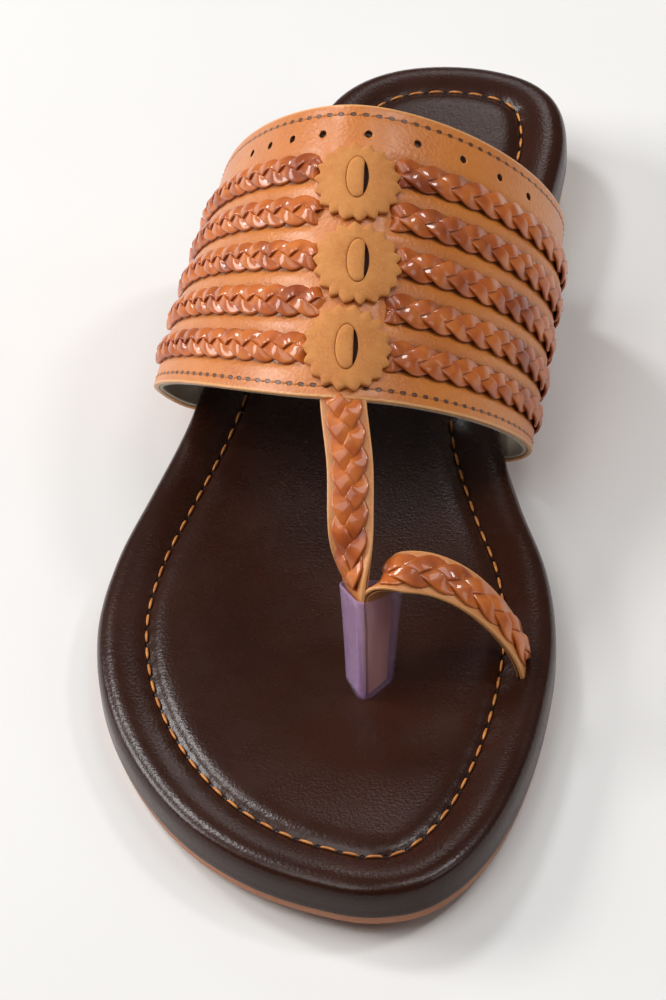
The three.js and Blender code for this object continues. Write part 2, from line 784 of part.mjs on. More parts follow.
const FINISHES = {
  footbed: finish(0x3a2018, 0.45),
  outsole: finish(0xa5643a, 0.7),
  heel: finish(0xc79a5a, 0.7),
  band: finish(0xcd8748, 0.5),
  braid: finish(0x9c4f26, 0.3),
  rosette: finish(0xc8823e, 0.65),
  film: finish(0x8a6fa0, 0.15),
};

const group = new THREE.Group();
group.name = 'sandal';

function add(name, geometry, material) {
  geometry.computeVertexNormals();
  const mesh = new THREE.Mesh(geometry, material);
  mesh.name = name;
  group.add(mesh);
}

add('outsole', makeOutsole(), FINISHES.outsole);
add('heel', makeHeel(), FINISHES.heel);
add('footbed', makeCutFootbed(), FINISHES.footbed);
add('upper', makeUpper(), FINISHES.band);
add('post_sleeve', makeSleeve(), FINISHES.film);

for (let row = 0; row < BRAID_ROWS; row += 1) {
  add(`braid_lateral_${row + 1}`, makeBraidRow(row, 'lateral'), FINISHES.braid);
  add(`braid_medial_${row + 1}`, makeBraidRow(row, 'medial'), FINISHES.braid);
}
add('braid_centre_strap',
  makeStrapBraid(centreStations, (station) => pastBand(station) && pastSleeve(station)),
  FINISHES.braid);
add('braid_toe_ring',
  makeStrapBraid(toeRingStations.slice(RING_BRAID_START), aboveFootbed),
  FINISHES.braid);

for (const rosette of ROSETTES) {
  add(`rosette_${rosette.where}`, makeRosette(rosette), FINISHES.rosette);
  add(`rosette_tab_${rosette.where}`, makeTab(rosette), FINISHES.rosette);
}

export default group;
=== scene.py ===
"""Braided toe-ring slide sandal, right foot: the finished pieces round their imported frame.

Shapes are worked out in millimetres, in the frame's own axes: the toe points along -Y, the
heel along +Y, the big-toe (medial) side along +X and up is +Z. Each piece is scaled to
metres as it is finished. Shoe coordinates are (across, along, up): across is sideways with
the medial side positive, along runs forward from the back of the heel, and up is height.
"""

import logging
import math
import random
from collections.abc import Callable, Sequence
from dataclasses import dataclass, field
from enum import Enum
from typing import NamedTuple

import bmesh
import bpy
import numpy as np
from mathutils import Matrix, Vector


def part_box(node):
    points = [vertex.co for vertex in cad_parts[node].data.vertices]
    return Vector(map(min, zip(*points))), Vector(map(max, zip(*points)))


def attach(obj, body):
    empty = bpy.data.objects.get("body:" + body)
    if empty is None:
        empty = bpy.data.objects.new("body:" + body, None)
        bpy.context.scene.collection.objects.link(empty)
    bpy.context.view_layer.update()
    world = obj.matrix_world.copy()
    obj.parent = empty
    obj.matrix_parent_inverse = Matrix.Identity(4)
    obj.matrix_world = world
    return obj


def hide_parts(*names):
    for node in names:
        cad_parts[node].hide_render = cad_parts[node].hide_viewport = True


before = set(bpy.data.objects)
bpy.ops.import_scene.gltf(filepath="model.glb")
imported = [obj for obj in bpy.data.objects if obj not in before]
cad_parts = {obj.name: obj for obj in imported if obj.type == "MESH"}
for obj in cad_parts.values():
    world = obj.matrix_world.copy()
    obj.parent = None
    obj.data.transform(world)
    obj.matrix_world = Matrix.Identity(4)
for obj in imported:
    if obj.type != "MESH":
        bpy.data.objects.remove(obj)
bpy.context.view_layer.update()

MM = 0.001
log = logging.getLogger("sandal")

BMesh = bmesh.types.BMesh
Material = bpy.types.Material
Socket = bpy.types.NodeSocket
Surface = Callable[[int, int], Vector]
Chart = Callable[[int, int], tuple[float, float]]
Place = tuple[float, float, float]
Colour = tuple[float, float, float]
Value = float | Sequence[float] | Socket


class Side(Enum):
    """The two sides of the shoe, with the sign of their across direction."""

    LATERAL = -1
    MEDIAL = 1


# ------------------------------------------------------------------ curves


def hermite(start: Vector, end: Vector, leave: Vector, arrive: Vector, t: float) -> Vector:
    """Point of a cubic between two points with given end slopes.

    Args:
        start: first point.
        end: last point.
        leave: slope at the first point.
        arrive: slope at the last point.
        t: place from 0 to 1.

    Returns:
        The point.
    """
    t2, t3 = t * t, t * t * t
    return (
        (2 * t3 - 3 * t2 + 1) * start
        + (t3 - 2 * t2 + t) * leave
        + (3 * t2 - 2 * t3) * end
        + (t3 - t2) * arrive
    )


def spline(
    knots: Sequence[Vector], steps: int, closed: bool = False, power: float = 0.25
) -> list[Vector]:
    """Catmull-Rom curve through knots.

    Args:
        knots: the points it passes through.
        steps: points made in each span.
        closed: whether the last knot joins the first.
        power: 0.25 for a centripetal curve, 0 for a uniform one.

    Returns:
        Points along the curve.
    """
    count = len(knots)

    def knot(i: int) -> Vector:
        """A knot, or one mirrored past an open end.

        Args:
            i: the knot's number.

        Returns:
            The knot.
        """
        if closed:
            return knots[i % count]
        if i < 0:
            return 2 * knots[0] - knots[1]
        return 2 * knots[-1] - knots[-2] if i >= count else knots[i]

    points = []
    for i in range(count if closed else count - 1):
        a, b, c, d = (knot(i + k) for k in (-1, 0, 1, 2))
        ab, bc, cd = ((q - p).length_squared ** power for p, q in ((a, b), (b, c), (c, d)))
        leave = ((b - a) / ab - (c - a) / (ab + bc) + (c - b) / bc) * bc
        arrive = ((c - b) / bc - (d - b) / (bc + cd) + (d - c) / cd) * bc
        points += [hermite(b, c, leave, arrive, k / steps) for k in range(steps)]
    return points if closed else [*points, knots[-1].copy()]


def distances(points: np.ndarray) -> np.ndarray:
    """How far along a polyline each of its points is."""
    return np.concatenate([[0], np.cumsum(np.linalg.norm(np.diff(points, axis=0), axis=1))])


def spaced(points: Sequence[Vector], count: int) -> list[Vector]:
    """Points at even distances along an open polyline.

    Args:
        points: the polyline.
        count: number of spaces.

    Returns:
        One point more than the number of spaces.
    """
    flat = np.array(points)
    far = distances(flat)
    wanted = np.linspace(0, far[-1], count + 1)
    return [Vector(p) for p in np.stack([np.interp(wanted, far, c) for c in flat.T], axis=1)]


def smooth_step(x: float) -> float:
    """Eases from 0 to 1 as x goes from 0 to 1."""
    t = min(1.0, max(0.0, x))
    return t * t * (3 - 2 * t)


def smoother_step(x: float) -> float:
    """Eases from 0 to 1 with a flatter start and end."""
    t = min(1.0, max(0.0, x))
    return t * t * t * (t * (6 * t - 15) + 10)


def hump(x: float, width: float) -> float:
    """A bell of height 1 at zero that is gone by about twice its width."""
    return math.exp(-((x / width) ** 2))


def strip_section(
    around: int, half_wide: float, half_high: float, ends: float, faces: float
) -> list[tuple[float, float]]:
    """Outline of a flat strip's cross-section, with soft corners.

    Args:
        around: number of points.
        half_wide: half the strip's width.
        half_high: half its thickness.
        ends: power that squares the outline sideways, where 1 leaves an ellipse.
        faces: power that squares it in height.

    Returns:
        Points aside and out of the strip's middle.
    """
    section = []
    for k in range(around):
        angle = 2 * math.pi * k / around
        c, s = math.cos(angle), math.sin(angle)
        aside = half_wide * math.copysign(abs(c) ** ends, c)
        section.append((aside, half_high * math.copysign(abs(s) ** faces, s)))
    return section


# ------------------------------------------------------------------ meshes


def add_sheet(
    bm: BMesh, columns: int, rows: int, surface: Surface, chart: Chart | None = None
) -> list[bmesh.types.BMVert]:
    """Adds a grid and moves its points onto a surface.

    Args:
        bm: mesh being made.
        columns: cells one way.
        rows: cells the other way.
        surface: place of the grid point at a column and a row.
        chart: UV place of that grid point.

    Returns:
        The grid's points.
    """
    layer = bm.loops.layers.uv.verify()
    made = bmesh.ops.create_grid(bm, x_segments=columns, y_segments=rows, size=0.5)["verts"]
    where = {
        v: (round((v.co.x + 0.5) * columns), round((v.co.y + 0.5) * rows)) for v in made
    }
    if chart:
        for face in {f for v in made for f in v.link_faces}:
            for loop in face.loops:
                loop[layer].uv = chart(*where[loop.vert])
    for vert, (i, j) in where.items():
        vert.co = surface(i, j)
    return made


def add_tube(
    bm: BMesh, around: int, steps: int, surface: Surface, chart: Chart | None = None
) -> None:
    """Adds a closed tube: a grid joined edge to edge, with its two mouths filled.

    Args:
        bm: mesh being made.
        around: points in each ring.
        steps: spaces between the first ring and the last.
        surface: place of a ring's point, by its number in the ring and the ring's number.
        chart: UV place of that point.
    """
    made = add_sheet(bm, around, steps, lambda i, j: surface(i % around, j), chart)
    bmesh.ops.remove_doubles(bm, verts=made, dist=1e-4)
    mouths = [e for e in bm.edges if e.is_boundary]
    bmesh.ops.holes_fill(bm, edges=mouths, sides=0)


def add_grain(bm: BMesh, place: Matrix, length: float, radius: float) -> None:
    """Adds one stitch: a short thread that arches and dives in at both ends.

    Args:
        bm: mesh being made.
        place: the stitch's middle, with X along it and Z out of the leather.
        length: end to end.
        radius: half the thread's thickness.
    """
    dive_share = 1.3
    made = bmesh.ops.create_uvsphere(bm, u_segments=8, v_segments=7, radius=1)["verts"]
    for vert in made:
        x, y, z = vert.co
        lengthwise = math.asin(max(-1.0, min(1.0, z))) / (math.pi / 2)
        stout = max(math.hypot(x, y), 1e-6)
        round_off = math.sqrt(stout) / stout
        dive = radius * dive_share * lengthwise**4
        vert.co = place @ Vector((
            lengthwise * length / 2,
            x * round_off * radius,
            y * round_off * radius - dive,
        ))


def stitch_turn(run: Vector, out: Vector) -> Matrix:
    """Turns a stitch along its run, with its back as near as can be to a direction out."""
    side = out.cross(run).normalized()
    return Matrix((run, side, run.cross(side))).transposed().to_4x4()


def publish(
    name: str,
    bm: BMesh,
    material: Material,
    replaces: Sequence[str] = (),
) -> bpy.types.Object:
    """Turns a finished mesh into a piece of the sandal.

    Args:
        name: the piece's name.
        bm: its mesh, in millimetres. It is used up.
        material: its finish.
        replaces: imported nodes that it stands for.

    Returns:
        The piece, at the origin, riding on the one body.
    """
    bmesh.ops.dissolve_degenerate(bm, edges=bm.edges, dist=1e-5)
    bmesh.ops.recalc_face_normals(bm, faces=bm.faces)
    bmesh.ops.scale(bm, vec=(MM, MM, MM), verts=bm.verts)
    mesh = bpy.data.meshes.new(name)
    bm.to_mesh(mesh)
    bm.free()
    mesh.shade_smooth()
    mesh.materials.append(material)
    piece = bpy.data.objects.new(name, mesh)
    bpy.context.scene.collection.objects.link(piece)
    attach(piece, "root")
    if replaces:
        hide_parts(*replaces)
    log.info("%s: %d faces", name, len(mesh.polygons))
    return piece


def cut(piece: bpy.types.Object, cutter: BMesh) -> None:
    """Cuts holes in a finished piece.

    Args:
        piece: the piece.
        cutter: closed solids to take away, in metres. It is used up.
    """
    mesh = bpy.data.meshes.new("punch")
    cutter.to_mesh(mesh)
    cutter.free()
    punch = bpy.data.objects.new("punch", mesh)
    bpy.context.scene.collection.objects.link(punch)
    modifier = piece.modifiers.new("punched", "BOOLEAN")
    modifier.operation = "DIFFERENCE"
    modifier.solver = "EXACT"
    modifier.object = punch
    graph = bpy.context.evaluated_depsgraph_get()
    result = bpy.data.meshes.new_from_object(piece.evaluated_get(graph))
    piece.modifiers.clear()
    piece.data = result
    bpy.data.objects.remove(punch)


# ------------------------------------------------------------------ finishes


class Graph:
    """A material's nodes, with short calls that add and join them."""

    def __init__(self, name: str) -> None:
        """Starts a material with one Principled shader.

        Args:
            name: the material's name.
        """
        self.material = bpy.data.materials.new(name)
        self.material.use_nodes = True
        self.tree = self.material.node_tree
        self.tree.nodes.clear()
        self.shader = self.add("ShaderNodeBsdfPrincipled")
        output = self.add("ShaderNodeOutputMaterial")
        self.tree.links.new(self.shader.outputs[0], output.inputs["Surface"])

    def add(
        self, kind: str, sockets: dict[str | int, Value] | None = None, **settings: str
    ) -> bpy.types.Node:
        """Adds a node.

        Args:
            kind: the node's type.
            sockets: values or links for its inputs.
            **settings: its own settings.

        Returns:
            The node.
        """
        node = self.tree.nodes.new(kind)
        for name, value in settings.items():
            setattr(node, name, value)
        for name, value in (sockets or {}).items():
            self.feed(node.inputs[name], value)
        return node

    def feed(self, socket: Socket, value: Value) -> None:
        """Sets an input to a value, or links it.

        Args:
            socket: the input.
            value: a number, a colour, or an output to link.
        """
        if isinstance(value, Socket):
            self.tree.links.new(value, socket)
        elif socket.type == "RGBA" and len(value) == 3:
            socket.default_value = (*value, 1.0)
        else:
            socket.default_value = value

    def place(self) -> Socket:
        """Object coordinates, in metres."""
        return self.add("ShaderNodeTexCoord").outputs["Object"]

    def chart(self) -> tuple[Socket, Socket]:
        """The two parts of the piece's own UV map."""
        split = self.add("ShaderNodeSeparateXYZ", {0: self.add("ShaderNodeTexCoord").outputs["UV"]})
        return split.outputs["X"], split.outputs["Y"]

    def math(self, operation: str, a: Value, b: Value = 0.0) -> Socket:
        """What a Math node makes of one or two numbers."""
        return self.add("ShaderNodeMath", {0: a, 1: b}, operation=operation).outputs[0]

    def times(self, a: Value, b: Value) -> Socket:
        """The product of two numbers."""
        return self.math("MULTIPLY", a, b)

    def spot(self, x: Value, half_x: float, y: Value, half_y: float, fade: tuple[float, float]) -> Socket:
        """A soft oval spot round zero.

        Args:
            x: place one way.
            half_x: half the oval's size that way.
            y: place the other way.
            half_y: half its size that way.
            fade: squared distances, 1 at the oval's edge, where the spot is 0 and where it is 1.

        Returns:
            The spot's strength.
        """
        squares = [
            self.math("POWER", self.math("DIVIDE", at, half), 2.0)
            for at, half in ((x, half_x), (y, half_y))
        ]
        return self.remap(self.math("ADD", *squares), *fade)

    def noise(
        self, scale: float, detail: float = 3.0, rough: float = 0.5, stretch: Place = (1, 1, 1)
    ) -> Socket:
        """Cloudy noise on Object coordinates.

        Args:
            scale: clouds per metre.
            detail: octaves.
            rough: strength of the fine octaves.
            stretch: scale in X, Y and Z.

        Returns:
            The noise, about 0.5.
        """
        spot = self.add("ShaderNodeMapping", {"Vector": self.place(), "Scale": stretch})
        settings = {"Vector": spot.outputs[0], "Scale": scale, "Detail": detail, "Roughness": rough}
        return self.add("ShaderNodeTexNoise", settings).outputs["Fac"]

    def cells(self, scale: float) -> Socket:
        """Distances in a cell pattern on Object coordinates."""
        node = self.add("ShaderNodeTexVoronoi", {"Vector": self.place(), "Scale": scale})
        return node.outputs["Distance"]

    def remap(
        self, value: Value, low: float, high: float, to_low: float = 0.0, to_high: float = 1.0
    ) -> Socket:
        """Eases a number from one range to another.

        Args:
            value: the number.
            low: value that gives to_low.
            high: value that gives to_high.
            to_low: one end of the new range.
            to_high: its other end.

        Returns:
            The eased number.
        """
        sockets = {"Value": value, 1: low, 2: high, 3: to_low, 4: to_high}
        node = self.add("ShaderNodeMapRange", sockets, interpolation_type="SMOOTHSTEP")
        return node.outputs[0]

    def mix(self, share: Value, a: Value, b: Value) -> Socket:
        """Mixes two colours.

        Args:
            share: how much of the second colour.
            a: the first colour.
            b: the second colour.

        Returns:
            The mixed colour.
        """
        node = self.add("ShaderNodeMix", data_type="RGBA")
        for socket, value in ((0, share), (6, a), (7, b)):
            self.feed(node.inputs[socket], value)
        return node.outputs[2]

    def bump(self, height: Value, depth: float, under: Socket | None = None) -> Socket:
        """Raises a surface in shading.

        Args:
            height: from 0 to 1.
            depth: metres at height 1.
            under: a coarser bump that this one lies on.

        Returns:
            The normal.
        """
        sockets = {"Height": height, "Distance": depth, "Strength": 1.0}
        if under:
            sockets["Normal"] = under
        return self.add("ShaderNodeBump", sockets).outputs[0]

    def finish(self, sockets: dict[str, Value]) -> Material:
        """Sets the shader's inputs and gives the material.

        Args:
            sockets: values and links, by the name of the input.

        Returns:
            The material.
        """
        for name, value in sockets.items():
            self.feed(self.shader.inputs[name], value)
        return self.material


@dataclass(frozen=True)
class FootbedLeather:
    """Smooth coated leather, stretched over foam, with stitch dips along its seam and painted shade in
    the stitch holes.
    """

    deep: Colour = (0.022, 0.0052, 0.0022)
    warm: Colour = (0.032, 0.0080, 0.0034)
    # Near-black of the painted shade in the stitch holes.
    needle_hole_shade: Colour = (0.006, 0.003, 0.002)
    seam: float = 10.5
    stitch_pitch: float = 4.65
    hole_half_length: float = 0.6
    hole_half_width: float = 0.45
    hole_depth: float = 0.0002
    pores_per_metre: float = 1500.0

    def build(self) -> Material:
        """Makes the material.

        Returns:
            The material.
        """
        g = Graph("footbed_leather")
        stitch, inset = g.chart()
        near_hole = g.times(g.math("PINGPONG", stitch, 0.5), self.stitch_pitch)
        off_seam = g.math("SUBTRACT", inset, self.seam)
        hole = g.spot(near_hole, self.hole_half_length, off_seam, self.hole_half_width, (1.2, 0.4))
        colour = g.mix(g.remap(g.noise(38, 5, 0.6), 0.3, 0.75), self.deep, self.warm)
        # painted shade: the stitch holes along the seam are coloured near-black, as shade inside a hole.
        colour = g.mix(g.times(hole, 0.85), colour, self.needle_hole_shade)
        pores = g.bump(g.cells(self.pores_per_metre), 0.00003)
        fine = g.bump(g.noise(2200, 3, 0.6), 0.000025, pores)
        dips = g.bump(g.times(hole, -1.0), self.hole_depth, fine)
        return g.finish({
            "Base Color": colour,
            "Roughness": g.remap(g.noise(90, 4, 0.65), 0.3, 0.7, 0.24, 0.30),
            "Normal": dips,
            "Specular IOR Level": 0.31,
        })


@dataclass(frozen=True)
class BandLeather:
    """Tan grain leather, with pale cut edges, painted shade in its stitch holes and painted shade in rows
    under the braids.
    """

    tan: Colour = (0.62, 0.200, 0.030)
    burnt: Colour = (0.52, 0.145, 0.020)
    pale: Colour = (0.74, 0.37, 0.14)
    # Colour of the painted shade in the rows under the braids.
    under: Colour = (0.13, 0.034, 0.008)
    # Near-black of the painted shade in the stitch holes.
    needle_hole_shade: Colour = (0.055, 0.017, 0.006)
    hole_half_length: float = 0.75
    hole_half_width: float = 0.46
    hole_depth: float = 0.0004
    stitch_pitch: float = 2.8
    stitch_edge: float = 2.5
    width: float = 67.0
    front_row: float = 10.2
    row_pitch: float = 10.5
    row_fade: tuple[float, float] = (3.9, 2.9)
    rows_start: float = 9.5
    rows_front: float = 5.2
    rows_rear: float = 57.0

    def build(self) -> Material:
        """Makes the material.

        Returns:
            The material.
        """
        g = Graph("band_leather")
        aside, front = g.chart()
        edge = g.math("MINIMUM", front, g.math("SUBTRACT", self.width, front))
        across = g.math("SUBTRACT", edge, self.stitch_edge)
        along = g.math("PINGPONG", aside, self.stitch_pitch / 2)
        hole = g.spot(across, self.hole_half_width, along, self.hole_half_length, (1.3, 0.5))
        row = g.math("PINGPONG", g.math("SUBTRACT", front, self.front_row), self.row_pitch / 2)
        off_crown = g.remap(g.math("ABSOLUTE", aside), self.rows_start, self.rows_start + 2)
        beside = g.times(g.remap(row, *self.row_fade), off_crown)
        behind_front = g.remap(front, self.rows_front, self.rows_front + 1.2)
        inside = g.times(behind_front, g.remap(front, self.rows_rear, self.rows_rear - 1))
        braid_shade = g.times(g.times(beside, inside), 0.9)
        colour = g.mix(g.remap(g.noise(42, 5, 0.6), 0.32, 0.72), self.tan, self.burnt)
        colour = g.mix(g.remap(g.noise(900, 2, 0.5), 0.45, 0.8, 0.0, 0.12), colour, self.pale)
        # painted shade: the leather under and beside each braid row is darkened, standing in for the
        # shade the braids cast in their troughs.
        colour = g.mix(braid_shade, colour, self.under)
        colour = g.mix(g.remap(edge, 0.75, 0.25), colour, self.pale)
        # painted shade: the stitch holes beside each edge are coloured near-black, as shade inside a
        # hole.
        colour = g.mix(g.times(hole, 0.9), colour, self.needle_hole_shade)
        pebble = g.bump(g.cells(1250), 0.00010)
        fine = g.bump(g.noise(2300, 3, 0.65), 0.00006, pebble)
        return g.finish({
            "Base Color": colour,
            "Roughness": g.remap(g.noise(120, 4, 0.6), 0.3, 0.7, 0.34, 0.44),
            "Normal": g.bump(g.times(hole, -1.0), self.hole_depth, fine),
            "Specular IOR Level": 0.45,
            "Coat Weight": 0.28,
            "Coat Roughness": 0.28,
        })


@dataclass(frozen=True)
class StrapLeather:
    """The band's leather on the straps, with no seam and paler cut edges."""

    tan: Colour = (0.56, 0.20, 0.050)
    pale: Colour = (0.72, 0.34, 0.12)

    def build(self) -> Material:
        """Makes the material.

        Returns:
            The material.
        """
        g = Graph("strap_leather")
        aside, _ = g.chart()
        colour = g.mix(g.remap(g.noise(70, 4, 0.6), 0.3, 0.7, 0.0, 0.3), self.tan, self.pale)
        colour = g.mix(g.remap(g.math("ABSOLUTE", aside), 4.2, 4.7), colour, self.pale)
        pebble = g.bump(g.cells(1100), 0.00006)
        return g.finish({
            "Base Color": colour,
            "Roughness": 0.46,
            "Normal": g.bump(g.noise(2300, 3, 0.65), 0.00005, pebble),
            "Coat Weight": 0.15,
            "Coat Roughness": 0.3,
        })


@dataclass(frozen=True)
class PlaitLeather:
    """Glossy reddish brown thong leather, creased where the strands bend, with painted shade along the
    strands' edges.
    """

    red: Colour = (0.45, 0.093, 0.013)
    dark: Colour = (0.26, 0.045, 0.007)
    light: Colour = (0.58, 0.160, 0.026)

    def build(self) -> Material:
        """Makes the material.

        Returns:
            The material.
        """
        g = Graph("plait_leather")
        edge, _ = g.chart()
        colour = g.mix(g.remap(g.noise(260, 3, 0.5), 0.3, 0.7), self.red, self.light)
        colour = g.mix(g.remap(g.noise(95, 3, 0.5), 0.45, 0.75), colour, self.dark)
        # painted shade: each strand darkens towards its edges, where the plait's gaps fall into shade.
        colour = g.mix(g.remap(edge, 0.86, 0.99, 0.0, 0.35), colour, self.dark)
        crease = g.bump(g.noise(700, 3, 0.5), 0.00005)
        return g.finish({
            "Base Color": colour,
            "Roughness": g.remap(g.noise(500, 3, 0.5), 0.3, 0.7, 0.32, 0.44),
            "Normal": g.bump(g.noise(3000, 2, 0.5), 0.000015, crease),
            "Specular IOR Level": 0.25,
            "Coat Weight": 0.55,
            "Coat Roughness": 0.06,
        })


@dataclass(frozen=True)
class RosetteLeather:
    """Golden tan buffed leather with a soft nap, and painted shade on the walls of the oval openings."""

    gold: Colour = (0.60, 0.242, 0.062)
    brown: Colour = (0.51, 0.180, 0.042)
    worn: Colour = (0.74, 0.38, 0.13)
    # Near-black of the painted shade on the oval openings' walls.
    opening: Colour = (0.045, 0.014, 0.006)
    opening_shade_edge: tuple[float, float] = (0.312, 0.302)

    def build(self) -> Material:
        """Makes the material.

        Returns:
            The material.
        """
        g = Graph("rosette_leather")
        share, _ = g.chart()
        colour = g.mix(g.remap(g.noise(150, 5, 0.7), 0.3, 0.7), self.gold, self.brown)
        colour = g.mix(g.remap(g.noise(1700, 2, 0.6), 0.4, 0.8, 0.0, 0.25), colour, self.worn)
        # painted shade: the walls of each oval opening are coloured near-black, as shade in the hole
        # beside the tongue.
        colour = g.mix(g.remap(share, *self.opening_shade_edge), colour, self.opening)
        nap = g.bump(g.noise(1900, 4, 0.7), 0.00009)
        return g.finish({
            "Base Color": colour,
            "Roughness": 0.72,
            "Normal": nap,
            "Specular IOR Level": 0.35,
        })


@dataclass(frozen=True)
class PlainSheet:
    """A plain sheet good: lining, rubber or stacked board, with a fine tooth."""

    name: str
    light: Colour
    dark: Colour
    roughness: float
    tooth_per_metre: float = 1800.0
    tooth_depth: float = 0.00006
    stretch: Place = (1, 1, 1)

    def build(self) -> Material:
        """Makes the material.

        Returns:
            The material.
        """
        g = Graph(self.name)
        cloud = g.noise(70, 5, 0.65, self.stretch)
        speck = g.noise(900, 3, 0.6, self.stretch)
        colour = g.mix(g.remap(cloud, 0.3, 0.7), self.light, self.dark)
        colour = g.mix(g.remap(speck, 0.5, 0.8, 0.0, 0.35), colour, self.dark)
        tooth = g.noise(self.tooth_per_metre, 4, 0.65, self.stretch)
        return g.finish({
            "Base Color": colour,
            "Roughness": self.roughness,
            "Normal": g.bump(tooth, self.tooth_depth),
        })


@dataclass(frozen=True)
class Thread:
    """Waxed sewing thread."""

    name: str
    light: Colour
    dark: Colour

    def build(self) -> Material:
        """Makes the material.

        Returns:
            The material.
        """
        g = Graph(self.name)
        colour = g.mix(g.remap(g.noise(700, 2, 0.5), 0.35, 0.65), self.light, self.dark)
        return g.finish({
            "Base Color": colour,
            "Roughness": 0.5,
            "Normal": g.bump(g.noise(3500, 2, 0.5), 0.00006),
        })


@dataclass(frozen=True)
class Film:
    """Clear film with a lilac tint, less clear on its lateral face to paint the reflection seen there."""

    tint: Colour = (0.36, 0.20, 0.42)
    rosy: Colour = (0.46, 0.28, 0.46)
    clearness: float = 0.84
    # How clear the lateral face is, lowered to paint its reflection.
    painted_reflection_clearness: float = 0.42
    apex: float = 0.0100
    apex_fade: float = 0.0004

    def build(self) -> Material:
        """Makes the material.

        Returns:
            The material.
        """
        g = Graph("sleeve_film")
        colour = g.mix(g.remap(g.noise(120, 3, 0.5), 0.3, 0.7), self.tint, self.rosy)
        side = g.add("ShaderNodeSeparateXYZ", {0: g.place()}).outputs["X"]
        start = self.apex - self.apex_fade
        # painted reflection: the lateral face is made less clear than the medial one, standing in for the
        # film's reflection there.
        body = g.remap(side, start, self.apex, 1 - self.painted_reflection_clearness, 1 - self.clearness)
        return g.finish({
            "Base Color": colour,
            "Roughness": 0.12,
            "Normal": g.bump(g.noise(260, 2, 0.4), 0.0002),
            "Alpha": body,
            "Coat Weight": 0.5,
            "Coat Roughness": 0.06,
            "Specular IOR Level": 0.6,
        })


OUTSOLE_RUBBER = PlainSheet("outsole_rubber", (0.46, 0.20, 0.105), (0.38, 0.15, 0.075), 0.6)
HEEL_STACK = PlainSheet(
    "heel_stack", (0.64, 0.43, 0.21), (0.50, 0.30, 0.13), 0.5, stretch=(1, 1, 6))
LINING_LEATHER = PlainSheet("lining_leather", (0.60, 0.53, 0.44), (0.46, 0.39, 0.31), 0.75)
STRAP_LINING = PlainSheet("strap_lining", (0.46, 0.19, 0.07), (0.36, 0.13, 0.045), 0.65)
FOOTBED_THREAD = Thread("footbed_thread", (0.62, 0.24, 0.045), (0.44, 0.14, 0.024))
BAND_THREAD = Thread("band_thread", (0.56, 0.19, 0.040), (0.46, 0.14, 0.030))


# ------------------------------------------------------------------ the last


class Breadth(NamedTuple):
    """One row of the footbed's outline."""

    along: float
    lateral: float
    medial: float


OUTLINE = (
    Breadth(1.6, -10.5, 12.5),
    Breadth(6.0, -18.9, 21.6),
    Breadth(13.0, -25.0, 27.2),
    Breadth(25.0, -29.3, 29.8),
    Breadth(46.0, -33.6, 28.0),
    Breadth(73.0, -39.6, 22.6),
    Breadth(96.0, -45.0, 18.6),
    Breadth(116.0, -49.4, 18.8),
    Breadth(136.0, -55.1, 24.0),
    Breadth(156.0, -60.2, 30.5),
    Breadth(175.0, -61.8, 33.0),
    Breadth(195.0, -58.2, 31.7),
    Breadth(213.0, -50.0, 28.2),
    Breadth(229.0, -37.9, 22.7),
    Breadth(239.5, -24.4, 16.1),
    Breadth(245.2, -11.0, 9.2),
)


@dataclass
class Last:
    """The shoe's plan and heights, by which every piece is placed."""

    length: float
    shift: float = 14.4
    gap: float = 0.3
    outsole_thick: float = 3.2
    outsole_inset: float = 0.5
    footbed_thick: float = 7.0
    heel_height: float = 9.0
    ramp_start: float = 56.0
    ramp_end: float = 144.0
    spring_start: float = 198.0
    toe_spring: float = 4.0
    heel_back_across: float = 1.0
    toe_tip_across: float = -0.5
    half_steps: int = 330
    ring: list[Vector] = field(init=False)
    outward: list[Vector] = field(init=False)

    def __post_init__(self) -> None:
        """Works out the outline: medial side heel to toe, then lateral side back again."""
        knots = [
            Vector((self.heel_back_across, 0.0)),
            *(Vector((row.medial, row.along)) for row in OUTLINE),
            Vector((self.toe_tip_across, self.length)),
            *(Vector((row.lateral, row.along)) for row in reversed(OUTLINE)),
        ]
        per_span = 24
        dense = spline(knots, per_span, closed=True)
        toe = per_span * (len(OUTLINE) + 1)
        medial = spaced(dense[: toe + 1], self.half_steps)
        lateral = spaced([*dense[toe:], dense[0]], self.half_steps)
        self.ring = medial[:-1] + lateral[:-1]
        count, reach = len(self.ring), 4
        self.outward = []
        for i in range(count):
            run = self.ring[(i + reach) % count] - self.ring[i - reach]
            self.outward.append(Vector((run.y, -run.x)).normalized())

    def place(self, across: float, along: float, up: float) -> Vector:
        """A point in shoe coordinates as a point in the frame, in millimetres."""
        return Vector((across + self.shift, self.length / 2 - along, up))

    def underside(self, along: float) -> float:
        """Height of the outsole's underside.

        Args:
            along: distance from the back of the heel.

        Returns:
            The height.
        """
        ramp = (along - self.ramp_start) / (self.ramp_end - self.ramp_start)
        spring = max(0.0, (along - self.spring_start) / (self.length - self.spring_start))
        return self.heel_height * (1 - smoother_step(ramp)) + self.toe_spring * spring**2

    def joint(self, along: float) -> float:
        """Height of the joint between outsole and footbed."""
        return self.underside(along) + self.outsole_thick + self.gap

    def footbed_top(self, along: float) -> float:
        """Height that the foot stands at."""
        return self.joint(along) + self.footbed_thick

    def inset(self, i: float, distance: float) -> Vector:
        """Outline point of a number, moved inwards."""
        i = round(i) % len(self.ring)
        return self.ring[i] - distance * self.outward[i]

    def side_at(self, side: Side, along: float, distance: float) -> float:
        """Across position of one side's inset outline at a distance along the shoe.

        Args:
            side: which side.
            along: distance from the back of the heel.
            distance: how far inside the outline.

        Returns:
            The across position.
        """
        half = self.half_steps
        order = range(half + 1) if side is Side.MEDIAL else range(2 * half, half - 1, -1)
        points = [self.inset(i, distance) for i in order]
        return float(np.interp(along, [p.y for p in points], [p.x for p in points]))


# ------------------------------------------------------------------ sole pieces


class Level(NamedTuple):
    """One ring of a sole layer: how far inside the outline, and how high."""

    inset: float
    up: float


